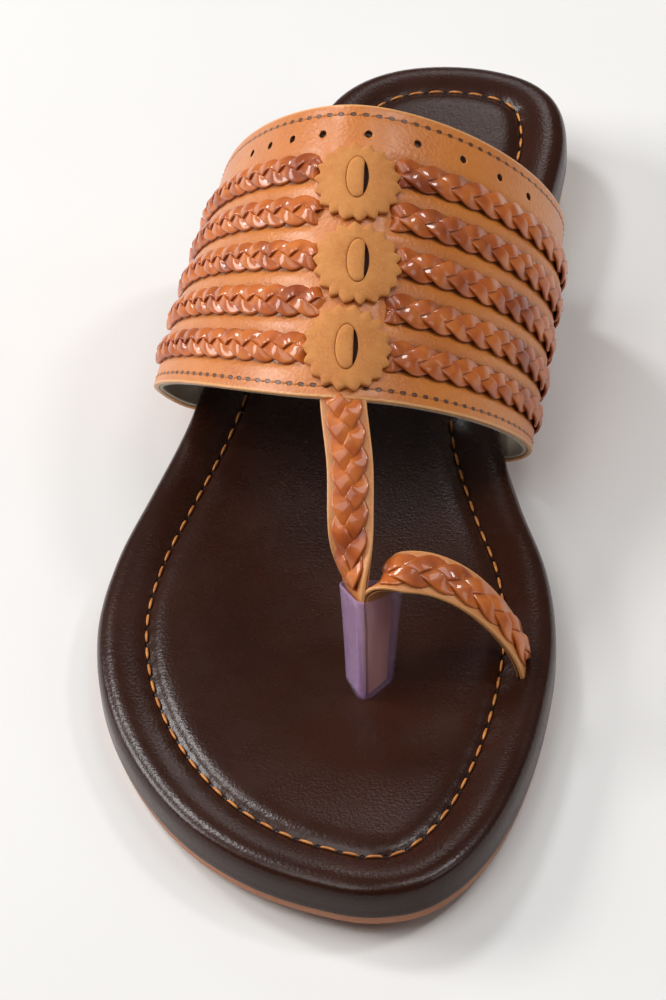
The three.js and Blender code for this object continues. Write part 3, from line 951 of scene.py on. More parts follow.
@dataclass
class SolePieces:
    """Outsole, heel and padded footbed with its seam."""

    last: Last
    seam_inset: float = 10.5
    stitch_pitch: float = 4.65
    stitch_length: float = 3.7
    thread_radius: float = 0.3
    seam_up: float = 6.32
    stitch_raise: float = 0.75
    pucker: float = 0.14
    heel_front: float = 54.0
    heel_taper: float = 1.4
    lift_height: float = 2.6
    lift_gap: float = 0.25
    cap_rows: int = 28
    cap_chart: tuple[float, float] = (0.5, 30.0)
    heel_steps: int = 60
    heel_face_cells: int = 12
    seam_far: list[float] = field(init=False)
    stitches: int = field(init=False)

    def __post_init__(self) -> None:
        """Measures the seam line round the footbed and counts its stitches."""
        line = [self.seam_point(i) for i in range(2 * self.last.half_steps + 1)]
        steps = [(b - a).length for a, b in zip(line, line[1:])]
        self.seam_far = [0.0, *np.cumsum(steps)]
        self.stitches = round(self.seam_far[-1] / self.stitch_pitch)

    def seam_point(self, i: float) -> Vector:
        """A point on the bottom of the footbed's stitch valley."""
        spot = self.last.inset(i, self.seam_inset)
        return self.last.place(spot.x, spot.y, self.last.joint(spot.y) + self.seam_up)

    def stitch_count(self, i: int) -> float:
        """Number of stitches from the back of the heel to an outline point."""
        return self.seam_far[i] / self.seam_far[-1] * self.stitches

    def add_layer(
        self,
        bm: BMesh,
        levels: Sequence[Level],
        base: Callable[[float], float],
        sink: Callable[[int, float], float] = lambda i, inset: 0.0,
    ) -> None:
        """Adds a closed sole layer: rings that follow the outline, and two caps.

        Args:
            bm: mesh being made.
            levels: rings from the middle of the underside to the middle of the top.
            base: height of the layer at a distance along the shoe.
            sink: how far a ring's point is pressed in.
        """
        last = self.last
        count = 2 * last.half_steps

        def rim(i: int, j: int) -> Vector:
            """A point on the rings.

            Args:
                i: number round the outline.
                j: number of the ring.

            Returns:
                The point.
            """
            level = levels[j]
            spot = last.inset(i, level.inset)
            height = base(spot.y) + level.up - sink(i % count, level.inset)
            return last.place(spot.x, spot.y, height)

        add_sheet(bm, count, len(levels) - 1, rim,
                  lambda i, j: (self.stitch_count(i), levels[j].inset))
        for level in (levels[0], levels[-1]):
            def cap(i: int, j: int, level: Level = level) -> Vector:
                """A point on a rung from the medial to the lateral side.

                Args:
                    i: number of the rung.
                    j: number of the point on it.
                    level: the ring that the cap closes.

                Returns:
                    The point.
                """
                spot = last.inset(i, level.inset).lerp(
                    last.inset(count - i, level.inset), j / self.cap_rows)
                return last.place(spot.x, spot.y, base(spot.y) + level.up)

            add_sheet(bm, last.half_steps, self.cap_rows, cap, lambda i, j: self.cap_chart)
        bmesh.ops.remove_doubles(bm, verts=bm.verts, dist=1e-3)

    def build_outsole(self, material: Material) -> None:
        """Makes the outsole with a softened edge.

        Args:
            material: its finish.
        """
        edge, thick = self.last.outsole_inset, self.last.outsole_thick
        levels = [
            Level(edge + 9, 0), Level(edge + 7.4, 0), Level(edge + 7.0, 0.35),
            Level(edge + 6.6, 0), Level(edge + 0.8, 0), Level(edge + 0.35, 0.1),
            Level(edge + 0.1, 0.35), Level(edge, 0.8), Level(edge, thick - 0.7),
            Level(edge + 0.12, thick - 0.25), Level(edge + 0.5, thick), Level(edge + 9, thick),
        ]
        bm = bmesh.new()
        self.add_layer(bm, levels, self.last.underside)
        publish("rubber_outsole", bm, material, ["outsole"])

    def build_footbed(self, material: Material) -> None:
        """Makes the padded footbed: a soft roll, a stitch valley and a full middle.

        Args:
            material: its finish.
        """
        knots = [
            (16.0, 0.0), (6.0, 0.0), (1.2, -0.1), (0.43, -0.2), (0.42, -0.7), (0.16, -0.9),
            (0.02, -0.4), (0.0, 1.2), (0.0, 3.1), (0.2, 4.9), (0.95, 6.35),
            (2.5, 7.15), (4.7, 7.38), (7.4, 7.05), (9.2, 6.6), (10.0, 6.32), (10.5, 6.15),
            (11.0, 6.38), (11.8, 6.85), (13.2, 7.3), (15.4, 7.55), (18.0, 7.6),
        ]
        curve = spline([Vector(k) for k in knots], 4)
        levels = [Level(p.x, p.y) for p in curve]

        def sink(i: int, inset: float) -> float:
            """The pull of each stitch on the leather beside the seam."""
            pull = 0.5 + 0.5 * math.cos(2 * math.pi * self.stitch_count(i))
            return self.pucker * pull * hump(inset - self.seam_inset, 1.5)

        bm = bmesh.new()
        self.add_layer(bm, levels, self.last.joint, sink)
        footbed = publish("padded_footbed", bm, material, ["footbed"])

    def build_seam(self, material: Material) -> None:
        """Sews the footbed's stitches.

        Args:
            material: the thread's finish.
        """
        bm = bmesh.new()
        count = 2 * self.last.half_steps
        for k in range(self.stitches):
            i = float(np.interp((k + 0.5) / self.stitches * self.seam_far[-1],
                                self.seam_far, range(count + 1)))
            low, share = math.floor(i), i % 1
            middle = self.seam_point(low).lerp(self.seam_point(low + 1), share)
            run = (self.seam_point(low + 2) - self.seam_point(low - 1)).normalized()
            turn = stitch_turn(run, Vector((0, 0, 1)))
            raised = self.thread_radius * self.stitch_raise * turn.col[2].to_3d()
            place = Matrix.Translation(middle + raised) @ turn
            add_grain(bm, place, self.stitch_length, self.thread_radius)
        publish("footbed_stitching", bm, material)

    def heel_ring(self, inset: float, front: float, height: float, steps: int) -> list[Vector]:
        """Outline of the heel at one height: medial side, front face, lateral side.

        Args:
            inset: how far inside the footbed's outline.
            front: along position of the front face.
            height: height of the ring.
            steps: points on each side.

        Returns:
            The ring.
        """
        last = self.last
        start = last.inset(0, inset).y
        alongs = [start + (front - start) * (1 - math.cos(k / steps * math.pi / 2))
                  for k in range(steps + 1)]
        medial = [last.place(last.side_at(Side.MEDIAL, a, inset), a, height) for a in alongs]
        lateral = [last.place(last.side_at(Side.LATERAL, a, inset), a, height) for a in alongs]
        cells = self.heel_face_cells
        face = [medial[-1].lerp(lateral[-1], k / cells) for k in range(1, cells)]
        return medial + face + lateral[:0:-1]

    def add_block(self, bm: BMesh, low: float, high: float, round_off: float) -> None:
        """Adds one layer of the heel with softened edges.

        Args:
            bm: mesh being made.
            low: height of its underside.
            high: height of its top.
            round_off: size of the softened edges.
        """
        top = self.last.heel_height
        rings = []
        edge = ((0, round_off), (round_off * 0.4, round_off * 0.25), (round_off, 0))
        levels = [(low + up, shrink) for up, shrink in edge]
        levels += [(high - down, shrink) for down, shrink in reversed(edge)]
        for height, shrink in levels:
            back = self.heel_taper * (1 - height / top) + shrink
            inset = self.last.outsole_inset + back
            rings.append(self.heel_ring(inset, self.heel_front - back, height, self.heel_steps))
        add_tube(bm, len(rings[0]), len(rings) - 1, lambda i, j: rings[j][i])

    def build_heel(self, stack: Material, rubber: Material) -> None:
        """Makes the stacked heel and its rubber lift.

        Args:
            stack: finish of the stacked layers.
            rubber: finish of the lift.
        """
        bm = bmesh.new()
        top = self.last.heel_height - self.last.gap
        self.add_block(bm, 0, self.lift_height, 0.3)
        publish("heel_lift", bm, rubber, ["heel"])
        bm = bmesh.new()
        middle = (self.lift_height + top) / 2
        self.add_block(bm, self.lift_height + self.lift_gap, middle, 0.2)
        self.add_block(bm, middle + self.lift_gap * 0.4, top, 0.2)
        publish("heel_stack_layers", bm, stack, ["heel"])


# ------------------------------------------------------------------ the band


class Section(NamedTuple):
    """One section of the band, by its share of the way from front to rear edge."""

    crown_across: float
    crown_along: float
    crown_up: float
    lateral_foot: float
    lateral_bulge: float
    lateral_rise: float
    medial_foot: float
    medial_bulge: float
    medial_rise: float


SECTIONS = (
    Section(-11.3, 152.0, 53.7, 107.5, 9.3, 12.4, 119.8, 7.2, 8.7),
    Section(-11.5, 131.0, 62.9, 89.7, 10.0, 12.7, 102.2, 10.4, 12.0),
    Section(-11.7, 110.0, 71.3, 72.0, 10.7, 13.1, 83.1, 10.4, 15.8),
    Section(-11.9, 89.3, 79.0, 54.2, 11.6, 13.4, 64.1, 7.1, 19.6),
)


def section_at(share: float) -> Section:
    """Section values at a share of the band's width, eased between the table's rows.

    Args:
        share: place between the front edge, 0, and the rear edge, 1.

    Returns:
        The section.
    """
    at = share * (len(SECTIONS) - 1)
    k = min(max(math.floor(at), 0), len(SECTIONS) - 2)
    rows = [np.array(row) for row in SECTIONS]
    here, after = rows[k], rows[k + 1]
    before = rows[k - 1] if k > 0 else 2 * here - after
    beyond = rows[k + 2] if k + 2 < len(rows) else 2 * after - here
    return Section(*hermite(here, after, (after - before) / 2, (beyond - here) / 2, at - k))


def sampled_section(section: dict[Side, np.ndarray], rounds: np.ndarray) -> np.ndarray:
    """Samples one section of the band at given distances round it.

    Args:
        section: its two halves, each from the crown down to the tucked end.
        rounds: distances from the crown, medial positive.

    Returns:
        A point for each distance. Past the tucked ends they go straight on.
    """
    lateral, medial = section[Side.LATERAL], section[Side.MEDIAL]
    points = np.concatenate([lateral[:0:-1], medial])
    places = np.concatenate([-distances(lateral)[:0:-1], distances(medial)])
    face = np.stack([np.interp(rounds, places, c) for c in points.T], axis=1)
    for end, step in ((0, 1), (-1, -1)):
        run = points[end] - points[end + step * 3]
        run /= np.linalg.norm(run)
        past = np.maximum(0, (places[end] - rounds) * step)
        face += past[:, None] * run
    return face


@dataclass
class BandFace:
    """The instep band's outer face, as a surface of two distances.

    A share runs from the front edge, 0, to the rear edge, 1. Round is the distance from the
    crown line along the leather, medial positive.
    """

    last: Last
    tuck: float = 6.0
    lean: dict[Side, float] = field(default_factory=lambda: {Side.LATERAL: 1.5, Side.MEDIAL: 1.1})
    fullness: dict[Side, float] = field(
        default_factory=lambda: {Side.LATERAL: 1.65, Side.MEDIAL: 1.62})
    share_step: float = 0.01
    margin: float = 0.08
    round_step: float = 0.5
    reach: float = 140.0
    soften: float = 1.3
    soften_crown: float = 5.0
    crown_reach: float = 20.0
    arch_points: int = 61
    tuck_points: int = 5
    feet_between: range = range(40, 140)
    width: float = field(init=False)

    def __post_init__(self) -> None:
        """Samples the face on a fine grid, with its directions out of the leather."""
        self.shares = np.arange(-self.margin, 1 + self.margin + 1e-9, self.share_step)
        rounds = np.arange(-self.reach, self.reach + 1e-9, self.round_step)
        edges = {
            side: [(a, self.last.side_at(side, a, self.last.outsole_inset)) for a in self.feet_between]
            for side in Side
        }
        sections = [
            {side: self.half_section(share, side, edges[side]) for side in Side}
            for share in self.shares
        ]
        self.girth = np.array([[distances(s[side])[-1] for side in Side] for s in sections])
        faces = np.array([sampled_section(s, rounds) for s in sections])
        sharp = self.blurred(faces, self.soften)
        soft = self.blurred(faces, self.soften_crown)
        near_crown = np.exp(-((rounds / self.crown_reach) ** 2))[None, :, None]
        self.face = sharp + near_crown * (soft - sharp)
        forward = -np.gradient(self.face, axis=0)
        medial = np.gradient(self.face, axis=1)
        out = -np.cross(medial, forward)
        self.out = out / np.linalg.norm(out, axis=2, keepdims=True)
        crown = [self.point(k / 40, 0) for k in range(41)]
        self.width = sum((b - a).length for a, b in zip(crown, crown[1:]))

    def blurred(self, faces: np.ndarray, reach: float) -> np.ndarray:
        """The sampled face with its bends eased over a reach round the band.

        Args:
            faces: points by share and by distance round.
            reach: distance that a bend is eased over.

        Returns:
            The eased points.
        """
        cut_off = 2.2
        half = math.ceil(cut_off * reach / self.round_step)
        kernel = np.exp(-((np.arange(-half, half + 1) * self.round_step / reach) ** 2))
        kernel /= kernel.sum()
        padded = np.pad(faces, ((0, 0), (half, half), (0, 0)), mode="edge")
        return sum(w * padded[:, k:k + faces.shape[1]] for k, w in enumerate(kernel))

    def half_section(
        self, share: float, side: Side, edge_line: list[tuple[float, float]]
    ) -> np.ndarray:
        """Half of one section, from the crown down to the tucked end.

        Args:
            share: place between the front and rear edges.
            side: which half.
            edge_line: along and across positions of the sole's edge.

        Returns:
            Its points in the frame.
        """
        row = section_at(share)
        medial = side is Side.MEDIAL
        foot = row.medial_foot if medial else row.lateral_foot
        bulge = row.medial_bulge if medial else row.lateral_bulge
        rise = row.medial_rise if medial else row.lateral_rise
        joint = self.last.joint(foot)
        edge = float(np.interp(foot, *zip(*edge_line)))
        sign = side.value
        wide = edge + sign * bulge
        power = 2 / self.fullness[side]
        angle = np.linspace(0, math.pi / 2, self.arch_points)
        arch = (row.crown_across + (wide - row.crown_across) * np.sin(angle) ** power,
                joint + rise + (row.crown_up - joint - rise) * np.cos(angle).clip(0) ** power)
        flank = (edge + sign * bulge * np.cos(angle[1:]), joint + rise * (1 - np.sin(angle[1:])))
        inwards = np.linspace(0, self.tuck, self.tuck_points)[1:]
        across = np.concatenate([arch[0], flank[0], edge - sign * inwards])
        up = np.concatenate([arch[1], flank[1], np.full_like(inwards, joint)])
        climb = ((up - joint) / (row.crown_up - joint)).clip(0) ** self.lean[side]
        along = foot + (row.crown_along - foot) * climb
        return np.stack([across + self.last.shift, self.last.length / 2 - along, up], axis=1)

    def lookup(self, table: np.ndarray, share: float, round_: float) -> np.ndarray:
        """Value of a sampled table between its grid points.

        Args:
            table: values by share and by distance round.
            share: place between the edges.
            round_: distance from the crown line.

        Returns:
            The value.
        """
        r = min(max((share + self.margin) / self.share_step, 0), len(self.shares) - 1.001)
        c = min(max((round_ + self.reach) / self.round_step, 0), table.shape[1] - 1.001)
        i, j = int(r), int(c)
        u, v = r - i, c - j
        return ((1 - u) * ((1 - v) * table[i, j] + v * table[i, j + 1])
                + u * ((1 - v) * table[i + 1, j] + v * table[i + 1, j + 1]))

    def point(self, share: float, round_: float, out: float = 0.0) -> Vector:
        """A point at a height over the outer face."""
        face = self.lookup(self.face, share, round_)
        return Vector(face + out * self.lookup(self.out, share, round_))

    def normal(self, share: float, round_: float) -> Vector:
        """Direction out of the leather."""
        return Vector(self.lookup(self.out, share, round_)).normalized()

    def half_girth(self, share: float, side: Side) -> float:
        """Distance from the crown line to one tucked end."""
        column = 1 if side is Side.MEDIAL else 0
        return float(np.interp(share, self.shares, self.girth[:, column]))


@dataclass
class Band:
    """The instep band: grain leather, lining, seams and punched holes."""

    face: BandFace
    leather: float = 1.25
    wall: float = 2.2
    glue: float = 0.04
    columns: int = 280
    front_row: float = 10.2
    row_pitch: float = 10.5
    rows: int = 5
    trough: float = 0.35
    trough_half: float = 3.5
    trough_fade: float = 0.9
    trough_start: float = 7.0
    start_ease: float = 3.0
    end_ease: float = 4.0
    braid_hem: float = 7.0
    seam_depth: float = 0.09
    seam_reach: float = 0.7
    seam_hem: float = 3.0
    stitch_edge: float = 2.5
    stitch_pitch: float = 2.8
    stitch_length: float = 1.9
    stitch_sink: float = 0.17
    thread_radius: float = 0.30
    hole_radius: float = 0.9
    hole_sides: int = 20
    punch_depth: float = 6.0
    hole_from_rear: float = 7.2
    holes: tuple[float, ...] = (-33.0, -24.5, -16.0, -7.0, 3.5, 14.5, 26.0, 37.0, 47.5)

    def round_at(self, share: float, j: int) -> float:
        """Distance round the band of a mesh line, from the lateral to the medial end.

        Args:
            share: place between the edges.
            j: number of the mesh line.

        Returns:
            Its distance from the crown line.
        """
        sideways = 2 * j / self.columns - 1
        side = Side.MEDIAL if sideways >= 0 else Side.LATERAL
        return sideways * self.face.half_girth(share, side)

    def relief(self, front: float, round_: float, share: float) -> float:
        """Height of the grain face over its base: sunk under braids and seams.

        Args:
            front: distance from the front edge.
            round_: distance from the crown line.
            share: place between the edges.

        Returns:
            The height, negative where the face is sunk.
        """
        side = Side.MEDIAL if round_ >= 0 else Side.LATERAL
        end = self.face.half_girth(share, side) - self.face.tuck - self.braid_hem
        start = smooth_step((abs(round_) - self.trough_start) / self.start_ease)
        along = start * smooth_step((end + self.start_ease - abs(round_)) / self.end_ease)
        sunk = 0.0
        for row in range(self.rows):
            off = abs(front - self.front_row - row * self.row_pitch)
            sunk = max(sunk, smooth_step((self.trough_half + self.trough_fade - off) / self.trough_fade))
        edge = min(front, self.face.width - front)
        seam = self.seam_depth * hump(edge - self.stitch_edge, self.seam_reach)
        return -self.trough * sunk * along - seam

    def shell(
        self, high: float, low: float, back: float, cells: int, soft: float, relief: bool
    ) -> BMesh:
        """Makes one closed layer of the band.

        Args:
            high: its outer face, from the band's outer face.
            low: its inner face.
            back: how far its edges stand back from the band's edges.
            cells: cells from the front edge to the rear edge.
            soft: rounding of the cut edges.
            relief: whether the outer face is sunk under braids and seams.

        Returns:
            The layer's mesh.
        """
        width = self.face.width
        first, last = back + soft, width - back - soft
        outer = [(first + (last - first) * k / cells, high, True) for k in range(cells + 1)]
        rear = [(width - back - soft * 0.3, high - soft * 0.3, False),
                (width - back, high - soft, False), (width - back, low + soft, False)]
        few = cells // 3
        inner = [(last - (last - first) * k / few, low, False) for k in range(few + 1)]
        front = [(back, low + soft, False), (back, high - soft, False),
                 (back + soft * 0.3, high - soft * 0.3, False)]
        loop = outer + rear + inner + front

        def surface(i: int, j: int) -> Vector:
            """A point of the layer.

            Args:
                i: number in the loop.
                j: number of the mesh line.

            Returns:
                The point.
            """
            distance, out, grain = loop[i]
            share = distance / width
            round_ = self.round_at(share, j)
            if relief and grain:
                out += self.relief(distance, round_, share)
            return self.face.point(share, round_, out)

        def chart(i: int, j: int) -> tuple[float, float]:
            """Distances round the band and from its front edge."""
            distance = loop[i % len(loop)][0]
            return self.round_at(distance / width, j), distance

        bm = bmesh.new()
        add_tube(bm, len(loop), self.columns, surface, chart)
        return bm

    def build_layers(self, grain: Material, lining: Material) -> None:
        """Makes the grain leather, punches it, and makes the lining.

        Args:
            grain: finish of the outer leather.
            lining: finish of the lining.
        """
        bm = self.shell(0, -self.leather, 0, 96, 0.3, True)
        leather = publish("band_leather", bm, grain, ["upper"])
        cut(leather, self.punches())
        bm = self.shell(-self.leather - self.glue, -self.wall, 0.25, 48, 0.2, False)
        cut(publish("band_lining", bm, lining), self.punches())

    def punches(self) -> BMesh:
        """The punch's pins, in metres, set in the leather near the rear edge.

        Returns:
            The pins, as one mesh.
        """
        bm = bmesh.new()
        layer = bm.loops.layers.uv.verify()
        share = 1 - self.hole_from_rear / self.face.width
        for round_ in self.holes:
            turn = self.face.normal(share, round_).to_track_quat("Z", "Y").to_matrix().to_4x4()
            middle = Matrix.Translation(self.face.point(share, round_, -0.2))
            bmesh.ops.create_cone(
                bm, cap_ends=True, segments=self.hole_sides, radius1=self.hole_radius * 0.9,
                radius2=self.hole_radius, depth=self.punch_depth,
                matrix=Matrix.Scale(MM, 4) @ middle @ turn)
        # The pins' UV points into a stitch hole of the band's chart, so the band leather's finish paints
        # the punched holes' walls with painted shade.
        for face in bm.faces:
            for loop in face.loops:
                loop[layer].uv = (0.0, self.stitch_edge)
        return bm

    def build_seams(self, material: Material) -> None:
        """Sews one line of stitches beside each edge.

        Args:
            material: the thread's finish.
        """
        bm = bmesh.new()
        face = self.face
        for distance in (self.stitch_edge, face.width - self.stitch_edge):
            share = distance / face.width
            ends = {s: face.half_girth(share, s) - face.tuck - self.seam_hem for s in Side}
            first = math.ceil(-ends[Side.LATERAL] / self.stitch_pitch)
            last = math.floor(ends[Side.MEDIAL] / self.stitch_pitch)
            for k in range(first, last):
                round_ = (k + 0.5) * self.stitch_pitch
                run = (face.point(share, round_ + 1) - face.point(share, round_ - 1)).normalized()
                turn = stitch_turn(run, face.normal(share, round_))
                place = Matrix.Translation(face.point(share, round_, -self.stitch_sink)) @ turn
                add_grain(bm, place, self.stitch_length, self.thread_radius)
        publish("band_stitching", bm, material)


# ------------------------------------------------------------------ straps


@dataclass(frozen=True)
class Knot:
    """A place on a strap's centre line, with the direction and share of its width."""

    centre: Vector
    across: Vector
    breadth: float = 1.0


class Run:
    """A strap's centre line, with its width and the way its grain faces."""

    def __init__(self, knots: Sequence[Knot]) -> None:
        """Fairs the line through its knots.

        Args:
            knots: places along the strap.
        """
        centres = spline([k.centre for k in knots], 24)
        widths = spline([k.across for k in knots], 24, power=0)
        self.centre = np.array(centres)
        self.far = distances(self.centre)
        along = np.gradient(self.centre, axis=0)
        along /= np.linalg.norm(along, axis=1, keepdims=True)
        across = np.array(widths)
        across -= (across * along).sum(axis=1, keepdims=True) * along
        self.across = across / np.linalg.norm(across, axis=1, keepdims=True)
        self.out = np.cross(along, self.across)
        steps_at = np.linspace(0, len(knots) - 1, len(centres))
        self.breadth = np.interp(steps_at, range(len(knots)), [k.breadth for k in knots])
        self.length = float(self.far[-1])

    def point(self, distance: float, aside: float = 0.0, out: float = 0.0) -> Vector:
        """A point beside and over the centre line, drawn in where the strap narrows.

        Args:
            distance: distance from the strap's start.
            aside: distance beside its centre line.
            out: height over it.

        Returns:
            The point.
        """
        aside *= float(np.interp(distance, self.far, self.breadth))
        centre, across, face = (
            np.array([np.interp(distance, self.far, c) for c in table.T])
            for table in (self.centre, self.across, self.out)
        )
        return Vector(centre + aside * across + out * face)

    def first_where(self, test: Callable[[Vector], bool], step: float = 0.25) -> float:
        """Distance of the first point on the line that passes a test.

        Args:
            test: what the point has to pass.
            step: space between the points tried.

        Returns:
            The distance, or the strap's length if no point passes.
        """
        distance = 0.0
        while distance < self.length and not test(self.point(distance)):
            distance += step
        return distance


class RingRow(NamedTuple):
    """A station of the toe ring past the post. Turn is the direction across the strap, in
    degrees from the medial direction, and tip is how far its heel edge is raised."""

    across: float
    along: float
    up: float
    turn: float
    tip: float


RING = (
    RingRow(1.4, 180.4, 32.0, 72, 12),
    RingRow(7.4, 180.0, 32.0, 84, 16),
    RingRow(14.2, 180.4, 28.8, 88, 14),
    RingRow(20.2, 181.4, 23.0, 90, 10),
    RingRow(24.6, 182.6, 16.0, 90, 5),
    RingRow(26.2, 183.4, 10.0, 90, 0),
)


class Corner(NamedTuple):
    """A corner of the toe post's V, seen along the post."""

    side: float
    forward: float


@dataclass
class Post:
    """The toe post: the place where both straps go down side by side in their sleeve."""

    last: Last
    across: float = -4.4
    along: float = 193.5
    lean_back: float = 24.0
    front: Corner = Corner(0.0, 0.0)
    lateral: Corner = Corner(-3.6, -7.9)
    medial: Corner = Corner(4.6, -7.3)
    sleeve_height: float = 21.0
    sleeve_wall: float = 0.5
    sleeve_flare: float = 0.4
    sleeve_levels: int = 16
    sleeve_lip: float = 1.012
    half_strap: float = 1.2
    foot_share: Corner = Corner(0.70, 0.50)
    corner_steps: int = 14

    def __post_init__(self) -> None:
        """Sets up the post's own directions."""
        lean = math.radians(self.lean_back)
        self.foot = self.last.place(self.across, self.along, self.last.footbed_top(self.along))
        self.up = Vector((0, math.sin(lean), math.cos(lean)))
        self.ahead = Vector((0, -math.cos(lean), math.sin(lean)))

    def point(self, side: float, forward: float, up: float) -> Vector:
        """A point by its distances from the post's front corner."""
        return self.foot + Vector((side, 0, 0)) + forward * self.ahead + up * self.up

    def knot(self, arm: Corner, up: float, towards_front: bool) -> Knot:
        """Centre and width of a strap that fills one arm of the V.

        Args:
            arm: the back corner of that arm.
            up: height over the post's foot.
            towards_front: whether the strap's width points to the front corner.

        Returns:
            The knot.
        """
        drawn = self.drawn_in(arm, up)
        across = -(Vector((drawn.side, 0, 0)) + drawn.forward * self.ahead).normalized()
        centre = self.point(drawn.side / 2, drawn.forward / 2, up)
        breadth = math.hypot(*drawn) / math.hypot(*arm)
        return Knot(centre, across if towards_front else -across, breadth)

    def drawn_in(self, corner: Corner, up: float) -> Corner:
        """A corner at a height: the V closes towards its foot."""
        way = min(1.0, max(0.0, up / self.sleeve_height))
        return Corner(*(c * (s + (1 - s) * way) for c, s in zip(corner, self.foot_share)))

    def sleeve_ring(self, radius: float, up: float) -> list[Corner]:
        """Outline of the sleeve round the V's three corners, at a distance from them.

        Args:
            radius: distance from the corners.
            up: height over the post's foot.

        Returns:
            The outline, by side and forward.
        """
        corners = [self.drawn_in(c, up) for c in (self.lateral, self.medial, self.front)]
        ring = []
        for i, corner in enumerate(corners):
            before, after = corners[i - 1], corners[(i + 1) % 3]
            start, end = (
                math.atan2(a.side - b.side, b.forward - a.forward)
                for a, b in ((before, corner), (corner, after))
            )
            sweep = (end - start) % (2 * math.pi)
            for k in range(self.corner_steps + 1):
                angle = start + sweep * k / self.corner_steps
                ring.append(Corner(corner.side + radius * math.cos(angle),
                                   corner.forward + radius * math.sin(angle)))
        return ring

    def build_sleeve(self, material: Material) -> None:
        """Makes the film sleeve, open at both ends, with a rolled mouth.

        Args:
            material: its finish.
        """
        inner = self.half_strap + self.last.gap
        outer = inner + self.sleeve_wall
        levels = self.sleeve_levels
        outside, inside = (
            [(radius + self.sleeve_flare * (k / levels) ** 2, k / levels) for k in range(levels + 1)]
            for radius in (outer, inner)
        )
        lip = (outer + self.sleeve_flare - self.sleeve_wall / 2, self.sleeve_lip)
        loop = [*outside, lip, *reversed(inside)]
        rings = [self.sleeve_ring(radius, way * self.sleeve_height) for radius, way in loop]

        def surface(i: int, j: int) -> Vector:
            """A point of the sleeve's wall. Its foot is cut level, just over the footbed.

            Args:
                i: number round the sleeve.
                j: number of the ring.

            Returns:
                The point.
            """
            corner, share = rings[j % len(loop)][i], loop[j % len(loop)][1]
            spot = self.point(corner.side, corner.forward, 0)
            along = self.last.length / 2 - spot.y
            foot = (self.last.footbed_top(along) + self.last.gap - spot.z) / self.up.z
            return spot + self.up * (foot + (self.sleeve_height - foot) * share)

        bm = bmesh.new()
        add_tube(bm, len(rings[0]), len(loop), surface)
        bmesh.ops.remove_doubles(bm, verts=bm.verts, dist=1e-3)
        publish("film_sleeve", bm, material, ["post_sleeve"])


@dataclass
class Straps:
    """The centre strap and the toe ring, each of grain leather on a lining."""

    last: Last
    band: BandFace
    post: Post
    width: float = 9.4
    thick: float = 2.4
    buried: float = 1.2
    offset: float = 0.9
    slot_depth: float = 3.6
    band_wall: float = 2.2
    skived: float = 0.6
    lining_thick: float = 0.608
    lining_trim: float = 0.45
    glue: float = 0.03
    around: int = 28
    step: float = 0.9

    def __post_init__(self) -> None:
        """Routes both straps."""
        self.centre = Run(self.centre_knots())
        self.ring = Run(self.ring_knots())

    def centre_knots(self) -> list[Knot]:
        """Places of the centre strap: out from under the band, over the foot, down the post.

        Returns:
            The knots.
        """
        inside = -self.band_wall - self.thick / 2 + self.buried
        level = Vector((1, 0, 0))
        height = self.post.sleeve_height
        place, arm = self.last.place, self.post.lateral
        return [
            Knot(self.band.point(0.16, self.offset, inside), level),
            Knot(self.band.point(0.02, self.offset, inside), level),
            Knot(place(-8.6, 162.0, 44.6), level),
            Knot(place(-7.8, 173.0, 37.8), Vector((0.97, -0.24, 0))),
            *(self.post.knot(arm, up, True) for up in (height, height * 2 / 3, height / 3)),
            self.post.knot(arm, -self.slot_depth, True),
        ]

    def ring_knots(self) -> list[Knot]:
        """Places of the toe ring: up the post, over the big toe and down its medial side.

        Returns:
            The knots.
        """
        height = self.post.sleeve_height
        rows = []
        for row in RING:
            turn, tip = math.radians(row.turn), math.radians(row.tip)
            flat = math.cos(tip)
            across = Vector((math.cos(turn) * flat, math.sin(turn) * flat, math.sin(tip)))
            rows.append(Knot(self.last.place(row.across, row.along, row.up), across))
        end = Knot(rows[-1].centre - Vector((0, 0, self.slot_depth)), rows[-1].across)
        heights = (-self.slot_depth, height / 3, height * 2 / 3, height)
        return [*(self.post.knot(self.post.medial, up, False) for up in heights), *rows, end]

    def bar(self, run: Run, low: float, high: float, trim: float) -> BMesh:
        """Makes one layer of a strap with rounded edges.

        Args:
            run: the strap's line.
            low: its lining side, from the centre line.
            high: its grain side.
            trim: how much narrower than the strap it is on each edge.

        Returns:
            The layer's mesh.
        """
        around, middle = self.around, (low + high) / 2
        outline = strip_section(around, self.width / 2 - trim, (high - low) / 2, 0.28, 0.5)
        section = [(aside, middle + out) for aside, out in outline]
        steps = round(run.length / self.step)
        bm = bmesh.new()
        add_tube(bm, around, steps, lambda i, j: run.point(run.length * j / steps, *section[i]),
                 lambda i, j: (section[i % around][0], run.length * j / steps))
        return bm

    def build(self, grain: Material, lining: Material) -> None:
        """Makes both layers of both straps.

        Args:
            grain: finish of the outer layer.
            lining: finish of the inner layer.
        """
        half = self.thick / 2
        floor = -half + self.skived
        split = floor + self.lining_thick
        for name, run in (("strap", self.centre), ("ring", self.ring)):
            bm = self.bar(run, split + self.glue, half, 0)
            publish(f"{name}_leather", bm, grain, ["upper"])
            bm = self.bar(run, floor, split - self.glue, self.lining_trim)
            publish(f"{name}_lining", bm, lining, ["upper"])


# ------------------------------------------------------------------ plaits

Track = Callable[[float, float, float], Vector]


